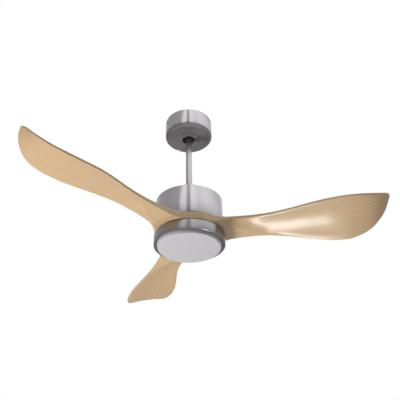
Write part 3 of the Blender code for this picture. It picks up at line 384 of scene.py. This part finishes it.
def finishPiece(name, shape, body, cadNode, sharp=38.0, material=None):
    # closes a bmesh, turns its faces out, and stands it in for its CAD node
    bmesh.ops.remove_doubles(shape, verts=shape.verts, dist=1e-6)
    bmesh.ops.recalc_face_normals(shape, faces=shape.faces)
    mesh = bpy.data.meshes.new(name)
    shape.to_mesh(mesh)
    shape.free()
    mesh.materials.append(material or finishes[slotOf[cadNode]])
    mesh.shade_smooth()
    mesh.set_sharp_from_angle(angle=math.radians(sharp))
    if "ridge" in mesh.attributes:   # edges that a carved piece wants crisp
        for edge, mark in zip(mesh.edges, mesh.attributes["ridge"].data):
            edge.use_edge_sharp = edge.use_edge_sharp or mark.value == 1
    piece = bpy.data.objects.new(name, mesh)
    bpy.context.scene.collection.objects.link(piece)
    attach(piece, body)
    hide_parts(cadNode)
    return piece


def turnedShape(profile, steps=128, centre=(0.0, 0.0, 0.0), axis=(0.0, 0.0, 1.0)):
    # a closed outline of (radius, height) corners spun round the axis
    shape = bmesh.new()
    corners = [shape.verts.new((radius, 0.0, height)) for radius, height in profile]
    edges = []
    for here, there in zip(corners, corners[1:] + corners[:1]):
        if here.co.x > 1e-9 or there.co.x > 1e-9:
            edges.append(shape.edges.new((here, there)))
    bmesh.ops.spin(shape, geom=corners + edges, cent=(0, 0, 0), axis=(0, 0, 1), angle=math.tau,
                   steps=steps, use_merge=True)
    bmesh.ops.remove_doubles(shape, verts=shape.verts, dist=1e-6)
    bmesh.ops.recalc_face_normals(shape, faces=shape.faces)
    return shape


def softenRims(shape, width, segments=2, above=40.0):
    # rounds the ring-shaped edges that are sharper than an angle
    rims = [edge for edge in shape.edges if len(edge.link_faces) == 2
            and edge.calc_face_angle(0.0) > math.radians(above)]
    bmesh.ops.bevel(shape, geom=rims, offset=width, segments=segments, profile=0.5,
                    affect="EDGES", clamp_overlap=True, material=-1)
    return shape


canopy = {"wall": 1.4 * mm, "rimRound": 0.5 * mm, "footLip": 6 * mm, "steps": 160}
canopyTrim = {"wide": 10 * mm, "groove": 3 * mm, "grooveHigh": 2.7 * mm, "lipHigh": 1.4 * mm,
              "slopeHigh": 3.2 * mm, "slopeIn": 3.2 * mm, "footIn": 9.2 * mm, "round": 0.35 * mm}
canopyDisc = {"boss": 42 * mm, "bossSlope": 2 * mm, "hole": 23.5 * mm, "drop": 3 * mm,
              "round": 0.6 * mm}


def buildCanopy():
    low, high = placeBox("canopy_shell")
    outer, wall = high.x, canopy["wall"]
    inner = outer - wall
    foot = inner - canopy["footLip"]
    shape = turnedShape([(inner, high.z), (outer, high.z), (outer, low.z), (foot, low.z),
                         (foot, low.z + wall), (inner, low.z + wall)], canopy["steps"])
    finishPiece("canopyShell", softenRims(shape, canopy["rimRound"]), "ceiling_mount",
                "canopy_shell")
    # a groove under the shell, then a sloping lip
    low, high = placeBox("canopy_trim_ring")
    lip, trim = high.x, canopyTrim
    inner, groove = lip - trim["wide"], lip - trim["groove"]
    shoulder = high.z - trim["grooveHigh"]
    slope = shoulder - trim["lipHigh"]
    shape = turnedShape([(inner, high.z), (groove, high.z), (groove, shoulder), (lip, shoulder),
                         (lip, slope), (lip - trim["slopeIn"], slope - trim["slopeHigh"]),
                         (lip - trim["footIn"], low.z), (inner, low.z)], canopy["steps"])
    finishPiece("canopyTrim", softenRims(shape, trim["round"], 2, 35.0), "ceiling_mount",
                "canopy_trim_ring", 30.0)
    # the bottom disc, with its boss round the ball
    low, high = placeBox("canopy_base_disc")
    edge, boss, hole = high.x, canopyDisc["boss"], canopyDisc["hole"]
    face = low.z + canopyDisc["drop"]
    shape = turnedShape([(hole, high.z), (edge, high.z), (edge, face), (boss, face),
                         (boss - canopyDisc["bossSlope"], low.z), (hole, low.z)],
                        canopy["steps"])
    finishPiece("canopyDisc", softenRims(shape, canopyDisc["round"], 3), "ceiling_mount",
                "canopy_base_disc")


sideScrew = {"shank": 2.5 * mm, "end": 1.9 * mm, "chamfer": 0.6 * mm, "headRound": 0.2 * mm,
             "head": ((0, 0), (2.6 * mm, -0.25 * mm), (4.0 * mm, -0.9 * mm),
                      (4.6 * mm, -1.7 * mm), (4.6 * mm, -2.6 * mm), (2.5 * mm, -2.6 * mm)),
             "crossLong": 4.8 * mm, "crossWide": 1.0 * mm, "crossDeep": 2.0 * mm, "steps": 32}


def buildSideScrew(cadNode, name):
    # pan head with a cross recess, lying along its own hole in the canopy wall
    low, high = placeBox(cadNode)
    middle = (low + high) / 2
    outward = Vector((middle.x, middle.y, 0)).normalized()
    reaches = [vert.co.dot(outward) for vert in nodes[cadNode].data.vertices]
    reach, length = max(reaches), max(reaches) - min(reaches)
    shape = turnedShape([*sideScrew["head"], (sideScrew["shank"], sideScrew["chamfer"] - length),
                         (sideScrew["end"], -length), (0, -length)], sideScrew["steps"])
    softenRims(shape, sideScrew["headRound"], 2, 50.0)
    piece = finishPiece(name, shape, "ceiling_mount", cadNode)
    cross = bmesh.new()
    size = (sideScrew["crossLong"], sideScrew["crossWide"], sideScrew["crossDeep"], 1)
    for turn in (0, math.pi / 2):
        bmesh.ops.create_cube(cross, size=1.0,
                              matrix=Matrix.Rotation(turn, 4, "Z") @ Matrix.Diagonal(size))
    mesh = bpy.data.meshes.new(name + "Cross")
    cross.to_mesh(mesh)
    cross.free()
    tool = bpy.data.objects.new(name + "Cross", mesh)
    bpy.context.scene.collection.objects.link(tool)
    carve = piece.modifiers.new("crossRecess", "BOOLEAN")
    carve.operation = "DIFFERENCE"
    carve.solver = "EXACT"
    carve.use_self = True
    carve.object = tool
    held = bpy.context.evaluated_depsgraph_get()
    held.update()
    piece.data = bpy.data.meshes.new_from_object(piece.evaluated_get(held))
    piece.modifiers.clear()
    bpy.data.objects.remove(tool)
    aimed = Vector((0, 0, 1)).rotation_difference(outward).to_matrix().to_4x4()
    spot = Matrix.Translation(outward * reach + Vector((0, 0, middle.z)))
    piece.data.transform(spot @ aimed)
    piece.data.shade_smooth()
    piece.data.set_sharp_from_angle(angle=math.radians(38))


def cornerRing(shape, height, least, most=math.inf):
    # the edges of one turned corner, found by height and radius
    return [edge for edge in shape.edges
            if all(abs(vert.co.z - height) < 1e-6 and least < vert.co.xy.length < most
                   for vert in edge.verts)]


def roundCorner(shape, ring, radius, segments):
    bmesh.ops.bevel(shape, geom=ring, offset=radius, segments=segments, profile=0.5,
                    affect="EDGES", clamp_overlap=False, material=-1)


def cupProfile(low, high, wall, hole):
    # an open cup hanging mouth down, with a hole in its flat top
    return [(hole, high.z), (high.x, high.z), (high.x, low.z), (high.x - wall, low.z),
            (high.x - wall, high.z - wall), (hole, high.z - wall)]


downRod = {"wall": 1.8 * mm, "round": 0.4 * mm, "steps": 72}
couplingCover = {"wall": 1.5 * mm, "hole": 11.8 * mm, "crownRound": 4 * mm, "steps": 112}
motorHousing = {"wall": 1.5 * mm, "hole": 9.3 * mm, "rimRound": 0.5 * mm, "steps": 192}


def buildRodAndCover():
    low, high = placeBox("down_rod")
    outer, inner = high.x, high.x - downRod["wall"]
    shape = turnedShape([(inner, high.z), (outer, high.z), (outer, low.z), (inner, low.z)],
                        downRod["steps"])
    finishPiece("downRod", softenRims(shape, downRod["round"]), "hung_frame", "down_rod")
    low, high = placeBox("coupling_cover")
    shape = turnedShape(cupProfile(low, high, couplingCover["wall"], couplingCover["hole"]),
                        couplingCover["steps"])
    roundCorner(shape, cornerRing(shape, high.z, high.x - 1e-5), couplingCover["crownRound"], 6)
    finishPiece("couplingCover", shape, "hung_frame", "coupling_cover")


def buildHousing():
    low, high = placeBox("motor_housing")
    shape = turnedShape(cupProfile(low, high, motorHousing["wall"], motorHousing["hole"]),
                        motorHousing["steps"])
    finishPiece("motorHousing", softenRims(shape, motorHousing["rimRound"]), "hung_frame",
                "motor_housing")


lightRing = {"wall": 1.4 * mm, "hole": 9.3 * mm, "lip": 9 * mm, "rimRound": 0.45 * mm,
             "metallic": 0.8, "rough": 0.2, "steps": 192}
opalLens = {"play": 1.0 * mm, "wall": 2 * mm, "taper": 5 * mm, "edgeRound": 3.0 * mm,
            "dome": 1.5 * mm, "domeCurve": ((0.3, 0.08), (0.6, 0.35), (0.85, 0.8)),
            "tabBand": 9 * mm, "tabHigh": 3 * mm, "tabReach": 3.5 * mm, "tabSpan": 16.0,
            "steps": 192}


def buildLight():
    low, high = placeBox("light_ring")
    outer, lip, wall = high.x, high.x - lightRing["lip"], lightRing["wall"]
    shape = turnedShape([(lightRing["hole"], high.z), (outer, high.z), (outer, low.z),
                         (lip, low.z), (lip, low.z + wall), (outer - wall, low.z + wall),
                         (outer - wall, high.z - wall), (lightRing["hole"], high.z - wall)],
                        lightRing["steps"])
    # the ring's nickel is painted darker than the housing's, a painted shade for the dimmer
    # reflections the ring gets under the blades; the plating itself is the same
    darker = makeBrushedNickel("brushedNickelPaintedShade", look["ringPaintedShadeDark"], look["ringPaintedShadeLight"],
                               lightRing["metallic"], lightRing["rough"])
    finishPiece("lightRing", softenRims(shape, lightRing["rimRound"]), "hung_frame",
                "light_ring", material=darker)
    buildLens(lip - opalLens["play"], low.z)


def onTab(part, side, foot):
    # whether a face of the lens's wall lies where a bayonet tab starts, above a height
    middle = part.calc_center_median()
    turn = math.atan2(middle.y, middle.x) % (math.tau / 3)
    return (middle.xy.length > side - 0.3 * mm and middle.z > foot
            and turn < math.radians(opalLens["tabSpan"]))


def buildLens(side, ringFoot):
    # an opal cup whose wall leans in below the ring, with three tabs that sit over the clips
    low, high = placeBox("opal_lens")
    bottom, rim = low.z, high.z
    face, wall = side - opalLens["taper"], opalLens["wall"]
    dome, edge = opalLens["dome"], opalLens["edgeRound"]
    crown = [(face * out, bottom + dome * up) for out, up in opalLens["domeCurve"]]
    shape = turnedShape([(0, bottom), *crown, (face, bottom + dome), (side, ringFoot),
                         (side, rim), (side - wall, rim), (side - wall, ringFoot),
                         (face - wall, bottom + dome + wall), (0, bottom + wall)],
                        opalLens["steps"])
    roundCorner(shape, cornerRing(shape, bottom + dome, face - 1e-5), edge, 8)
    inside = cornerRing(shape, bottom + dome + wall, face - wall - 1e-5, face - wall + 1e-5)
    roundCorner(shape, inside, edge - wall, 4)
    tabFoot = rim - opalLens["tabHigh"]
    band = [part for part in shape.faces if onTab(part, side, rim - opalLens["tabBand"])]
    bmesh.ops.bisect_plane(shape, geom=band + list({e for f in band for e in f.edges})
                           + list({v for f in band for v in f.verts}),
                           plane_co=(0, 0, tabFoot), plane_no=(0, 0, 1))
    shape.normal_update()
    raised = [part for part in shape.faces if onTab(part, side, tabFoot)
              and abs(part.normal.z) < 0.2
              and part.normal.xy.dot(part.calc_center_median().xy) > 0]
    for part in bmesh.ops.extrude_face_region(shape, geom=raised)["geom"]:
        if isinstance(part, bmesh.types.BMVert):
            part.co.xy = part.co.xy.normalized() * (side + opalLens["tabReach"])
    bmesh.ops.delete(shape, geom=[f for f in raised if f.is_valid], context="FACES_ONLY")
    finishPiece("opalLens", shape, "lens", "opal_lens")


buildCanopy()
buildSideScrew("canopy_screw_left", "sideScrewLeft")
buildSideScrew("canopy_screw_right", "sideScrewRight")
buildRodAndCover()
buildHousing()
buildLight()
print("turned pieces made")


# Each rail is a measure of the blade in mm against the distance from the axis
bladeShape = {
    "leadY": ((22.7, -38.6), (59, -101.2), (83, -80), (108, -62.5), (140, -52), (180, -47.5),
              (220, -45), (260, -45), (300, -48.5), (340, -56), (385, -67), (430, -78),
              (475, -86), (520, -89), (560, -85.5), (595, -75), (622, -59), (642, -40),
              (655, -20), (660, -6)),
    "trailY": ((22.7, 38.6), (59, 101.2), (83, 79), (108, 62), (140, 52), (180, 49.5),
               (220, 50), (260, 53), (300, 59), (340, 67.5), (385, 79), (430, 89), (475, 95),
               (520, 94), (560, 85), (595, 70), (622, 52), (642, 33), (655, 13), (660, 0)),
    "leadTop": ((22.7, 12.4), (220, 12.4), (300, 14), (385, 16), (475, 17), (560, 18.5),
                (595, 22), (622, 29), (642, 39), (655, 48), (660, 52)),
    "leadThick": ((22.7, 26.2), (90, 26.2), (108, 18), (125, 12.5), (140, 10), (180, 8.5),
                  (220, 8), (320, 7.5), (560, 7), (660, 5)),
    "trailFoot": ((22.7, -13.8), (200, -13.8), (260, -15.5), (300, -19), (340, -23),
                  (385, -28.5), (430, -33.5), (475, -38), (520, -40), (560, -34.5),
                  (595, -23), (622, -5), (642, 15), (655, 37), (660, 46)),
    "trailThick": ((22.7, 26.2), (90, 26.2), (108, 25), (140, 21.5), (180, 17), (220, 13),
                   (260, 10.5), (300, 9), (340, 8), (400, 7.5), (560, 7), (660, 5)),
    "crease": ((22.7, 0.04), (83, 0.06), (108, 0.10), (140, 0.21), (180, 0.39), (220, 0.62),
               (260, 0.82), (300, 0.91), (340, 0.94), (660, 0.94)),
    "camber": ((22.7, 0), (160, 0), (300, 3), (450, 7), (560, 6), (620, 3), (660, 0)),
    "plane": -476.0, "phase": 19.2, "edgeRound": 2.6,
    "rootRows": (22.7, 34.8, 46.9, 59.0), "rowGap": 9.0, "tipStart": 600, "tip": 660.0,
    "tipGaps": (8, 7, 7, 6, 6, 5, 4, 3, 2.5, 2, 1.5),
    "fadeStart": 170, "fadeLong": 60, "swell": 1.6, "swellStart": 180, "swellLong": 120,
    "ridgeLean": 0.04, "ridgeBow": 0.15, "faceBow": 0.93, "ridgeStart": 58.0, "ridgeEnd": 300.0,
    "sharp": 24.0, "plank": (0.37, 0.06, -0.012), "plankDepth": 0.045,
}


def along(rail, x):
    # smooth value of a rail at x
    if x <= rail[0][0]:
        return rail[0][1]
    last = len(rail) - 1
    steps = [(rail[i + 1][1] - rail[i][1]) / (rail[i + 1][0] - rail[i][0]) for i in range(last)]
    slopes = [steps[0]]
    for before, after in zip(steps, steps[1:]):
        slopes.append(2 * before * after / (before + after) if before * after > 0 else 0.0)
    slopes.append(steps[-1])
    for i in range(last):
        (x0, y0), (x1, y1) = rail[i], rail[i + 1]
        if x <= x1:
            span = x1 - x0
            t = (x - x0) / span
            return ((2 * t ** 3 - 3 * t ** 2 + 1) * y0 + (3 * t ** 2 - 2 * t ** 3) * y1
                    + (t ** 3 - 2 * t ** 2 + t) * span * slopes[i]
                    + (t ** 3 - t ** 2) * span * slopes[i + 1])
    return rail[-1][1]


def bladeSection(x):
    # corners round the blade at x mm: over the top from the leading edge, then back underneath
    rails = bladeShape
    leadY, trailY = along(rails["leadY"], x), along(rails["trailY"], x)
    leadTop = along(rails["leadTop"], x)
    leadFoot = leadTop - along(rails["leadThick"], x)
    trailFoot = along(rails["trailFoot"], x)
    trailTop = trailFoot + along(rails["trailThick"], x)
    crease, bow = along(rails["crease"], x), along(rails["camber"], x)
    fade = min(1.0, max(0.0, (x - rails["fadeStart"]) / rails["fadeLong"]))
    fade = fade * fade * (3 - 2 * fade)
    swell = rails["swell"] * min(1.0, max(0.0, (x - rails["swellStart"]) / rails["swellLong"]))
    lean, ridgeBow, faceBow = rails["ridgeLean"], bow * rails["ridgeBow"], bow * rails["faceBow"]

    def mix(a, b, part):
        return a + (b - a) * part

    footCrease = mix(trailFoot, mix(trailFoot, leadFoot, lean), fade) + ridgeBow
    topCrease = mix(leadTop, mix(leadTop, trailTop, lean), fade) + ridgeBow
    points = []

    def side(y0, z0, y1, z1, lift, count):
        for i in range(count):
            part = i / count
            points.append((mix(y0, y1, part), mix(z0, z1, part) + lift * 4 * part * (1 - part)))

    creaseTopY = mix(leadY, trailY, 1 - crease)
    creaseFootY = mix(leadY, trailY, crease)
    side(leadY, leadTop, creaseTopY, topCrease, 0.0, 5)
    side(creaseTopY, topCrease, trailY, trailTop, faceBow, 9)
    side(trailY, trailTop, trailY + swell, (trailTop + trailFoot) / 2, 0.0, 1)
    side(trailY + swell, (trailTop + trailFoot) / 2, trailY, trailFoot, 0.0, 1)
    side(trailY, trailFoot, creaseFootY, footCrease, 0.0, 5)
    side(creaseFootY, footCrease, leadY, leadFoot, faceBow, 9)
    side(leadY, leadFoot, leadY - swell, (leadTop + leadFoot) / 2, 0.0, 1)
    side(leadY - swell, (leadTop + leadFoot) / 2, leadY, leadTop, 0.0, 1)
    return points


def bladeRows():
    # distances from the axis at which the blade gets a section, closer together at the tip
    rows, tip = list(bladeShape["rootRows"]), bladeShape["tip"]
    while rows[-1] < bladeShape["tipStart"]:
        rows.append(rows[-1] + bladeShape["rowGap"])
    for gap in bladeShape["tipGaps"]:
        rows.append(rows[-1] + gap)
    return [x for x in rows if x < tip - 1] + [tip]


def sameCorner(edge, spot, spots):
    # whether an edge runs along the blade on one of these corners of its section
    a, b = edge.verts
    return a[spot] == b[spot] and a[spot] in spots


def buildBlade(number):
    shape = bmesh.new()
    spot = shape.verts.layers.int.new("spot")
    woodPlace = shape.verts.layers.float_vector.new("woodPlace")
    ridge = shape.edges.layers.int.new("ridge")
    rows = bladeRows()
    first = []
    for index, (y, z) in enumerate(bladeSection(rows[0])):
        corner = shape.verts.new((rows[0] * mm, y * mm, z * mm))
        corner[spot] = index
        first.append(corner)
    loop = list(shape.faces.new(first).edges)
    for x in rows[1:]:
        section = bladeSection(x)
        grown = bmesh.ops.extrude_edge_only(shape, edges=loop)["geom"]
        for part in grown:
            if isinstance(part, bmesh.types.BMVert):
                y, z = section[part[spot]]
                part.co = (x * mm, y * mm, z * mm)
        loop = [part for part in grown if isinstance(part, bmesh.types.BMEdge)
                and all(abs(vert.co.x - x * mm) < 1e-7 for vert in part.verts)]
    bmesh.ops.contextual_create(shape, geom=loop)
    bmesh.ops.recalc_face_normals(shape, faces=shape.faces)
    edgeSpots = {0, 14, 16, 30}      # where the top and the underside turn into the edges
    ridgeSpots = {5, 21}             # the ridge over the top and the one underneath
    rootEnd = bladeShape["rootRows"][-1] * mm
    rims = [edge for edge in shape.edges if sameCorner(edge, spot, edgeSpots)
            and min(vert.co.x for vert in edge.verts) > rootEnd - 0.1 * mm]
    bmesh.ops.bevel(shape, geom=rims, offset=bladeShape["edgeRound"] * mm, segments=3,
                    profile=0.5, affect="EDGES", clamp_overlap=True, material=-1)
    caps = [face for face in shape.faces if len(face.verts) > 6]
    bmesh.ops.poke(shape, faces=caps)
    depth = Vector((0, 0, bladeShape["plankDepth"]))
    for vert in shape.verts:         # each blade is cut from its own plank
        vert[woodPlace] = vert.co + Vector(bladeShape["plank"]) * number + depth
    turn = Matrix.Rotation(math.radians(bladeShape["phase"] + 90 + 120 * (number - 1)), 4, "Z")
    place = Matrix.Translation((0, 0, bladeShape["plane"] * mm)) @ turn
    for edge in shape.edges:         # the carved ridges stay crisp until they fade out
        reach = sum(vert.co.x for vert in edge.verts) / 2 / mm
        if (sameCorner(edge, spot, ridgeSpots)
                and bladeShape["ridgeStart"] < reach < bladeShape["ridgeEnd"]):
            edge[ridge] = 1
    bmesh.ops.transform(shape, matrix=place, verts=shape.verts)
    finishPiece("carvedBlade%d" % number, shape, "rotor", "blade_%d" % number,
                bladeShape["sharp"])


for bladeNumber in (1, 2, 3):
    buildBlade(bladeNumber)
print("blades made")


studio = {
    "floorZ": -3.4, "floorRadius": 3.75, "floorPaint": "dcdcdc",
    "low": 0.24,                     # light from below the horizon
    "matt": 0.48,                    # share of the room's light that matt surfaces get
    "aim": (0, 0, -0.45),
    # brightness of the room round the fan, against degrees from the front
    "walls": ((-180, 0.85), (-130, 0.5), (-80, 0.5), (-34, 0.6), (-26, 1.3), (-9, 1.35),
              (-5, 0.5), (3, 0.5), (7, 1.4), (20, 1.4), (30, 1.15), (60, 1.3), (95, 1.1),
              (130, 0.75), (180, 0.85)),
    "rise": ((0.12, 0.35), (0.4, 1.0)),          # the walls darken towards the horizon
    "horizon": (-0.12, 0.02),
    # place, size, power, and whether the lamp shows in polished surfaces
    "lamps": {"lowGlint": ((0.5, 1.0, -2.4), 0.3, 5.5, True),
              "leftKey": ((-1.9, 0.2, -2.4), 1.2, 56.0, False)},
}


def setStops(ramp, stops):
    # grey stops of a colour ramp, given as (place, brightness)
    while len(ramp.elements) < len(stops):
        ramp.elements.new(0.5)
    for element, (place, value) in zip(ramp.elements, stops):
        element.position = place
        element.color = (value, value, value, 1)


def buildFloor():
    shape = bmesh.new()
    bmesh.ops.create_circle(shape, cap_ends=True, segments=96, radius=studio["floorRadius"])
    bmesh.ops.translate(shape, verts=shape.verts, vec=(0, 0, studio["floorZ"]))
    mesh = bpy.data.meshes.new("studioFloor")
    shape.to_mesh(mesh)
    shape.free()
    floor = bpy.data.objects.new("studioFloor", mesh)
    bpy.context.scene.collection.objects.link(floor)
    mesh.materials.append(newFinish("paleFloorPaint", studio["floorPaint"],
                                    {"Roughness": 0.8})[0])


def buildRoom():
    # soft light from the room, white where the camera looks past the fan
    world = bpy.data.worlds.new("studioRoom")
    bpy.context.scene.world = world
    world.use_nodes = True
    tree = world.node_tree
    tree.nodes.clear()
    view = addNode(tree, "ShaderNodeTexCoord").outputs["Generated"]
    parts = addNode(tree, "ShaderNodeSeparateXYZ", None, {0: view})
    front = addNode(tree, "ShaderNodeMath", {"operation": "MULTIPLY", 1: -1.0},
                    {0: parts.outputs[1]})
    turn = addNode(tree, "ShaderNodeMath", {"operation": "ARCTAN2"},
                   {0: parts.outputs[0], 1: front.outputs[0]})
    share = addNode(tree, "ShaderNodeMath", {"operation": "MULTIPLY_ADD", 1: 1 / math.tau, 2: 0.5},
                    {0: turn.outputs[0]})
    walls = addNode(tree, "ShaderNodeValToRGB", None, {0: share.outputs[0]})
    setStops(walls.color_ramp, [(degrees / 360 + 0.5, value)
                                for degrees, value in studio["walls"]])
    heights = addNode(tree, "ShaderNodeValToRGB", None, {0: parts.outputs[2]})
    setStops(heights.color_ramp, studio["rise"])
    below, above = studio["horizon"]
    sky = addNode(tree, "ShaderNodeMapRange", {"From Min": below, "From Max": above},
                  {"Value": parts.outputs[2]})
    dimmed = addNode(tree, "ShaderNodeMix", {"data_type": "RGBA", "blend_type": "MULTIPLY", 0: 1.0},
                     {6: walls.outputs[0], 7: heights.outputs[0]})
    lit = addNode(tree, "ShaderNodeMix", {"data_type": "RGBA"},
                  {0: sky.outputs["Result"], 7: dimmed.outputs[2]})
    lit.inputs[6].default_value = (studio["low"], studio["low"], studio["low"], 1)
    path = addNode(tree, "ShaderNodeLightPath")
    power = spread(tree, path.outputs["Is Diffuse Ray"], 1.0, studio["matt"])
    room = addNode(tree, "ShaderNodeBackground", None, {"Color": lit.outputs[2], "Strength": power})
    plain = addNode(tree, "ShaderNodeBackground", {"Color": (1, 1, 1, 1), "Strength": 1.0})
    both = addNode(tree, "ShaderNodeMixShader", None, {
        0: path.outputs["Is Camera Ray"], 1: room.outputs[0], 2: plain.outputs[0]})
    addNode(tree, "ShaderNodeOutputWorld", None, {"Surface": both.outputs[0]})


def buildLamps():
    # a small lamp for the glint on the carved ridge, a large one for the undersides
    for name, (place, size, power, mirrored) in studio["lamps"].items():
        lamp = bpy.data.lights.new(name, "AREA")
        lamp.shape = "DISK"
        lamp.size = size
        lamp.energy = power
        holder = bpy.data.objects.new(name, lamp)
        bpy.context.scene.collection.objects.link(holder)
        holder.location = place
        holder.visible_glossy = mirrored
        aimed = Vector(studio["aim"]) - Vector(place)
        holder.rotation_euler = aimed.to_track_quat("-Z", "Y").to_euler()


roomCamera = {"place": (0.03765, -1.62205, -1.40679), "up": 33.17, "roll": -1.171, "lens": 50.0,
              "sensor": 36.0}


def buildCamera():
    # a normal lens, standing below and in front of the fan and looking up at it
    lens = bpy.data.cameras.new("roomCamera")
    lens.lens = roomCamera["lens"]
    lens.sensor_width = roomCamera["sensor"]
    lens.dof.use_dof = False
    camera = bpy.data.objects.new("roomCamera", lens)
    bpy.context.scene.collection.objects.link(camera)
    camera.matrix_world = (Matrix.Translation(roomCamera["place"])
                           @ Matrix.Rotation(math.radians(90 + roomCamera["up"]), 4, "X")
                           @ Matrix.Rotation(math.radians(roomCamera["roll"]), 4, "Z"))
    bpy.context.scene.camera = camera


buildFloor()
buildRoom()
buildLamps()
buildCamera()
bpy.context.scene.view_settings.view_transform = "Standard"
print("studio made")
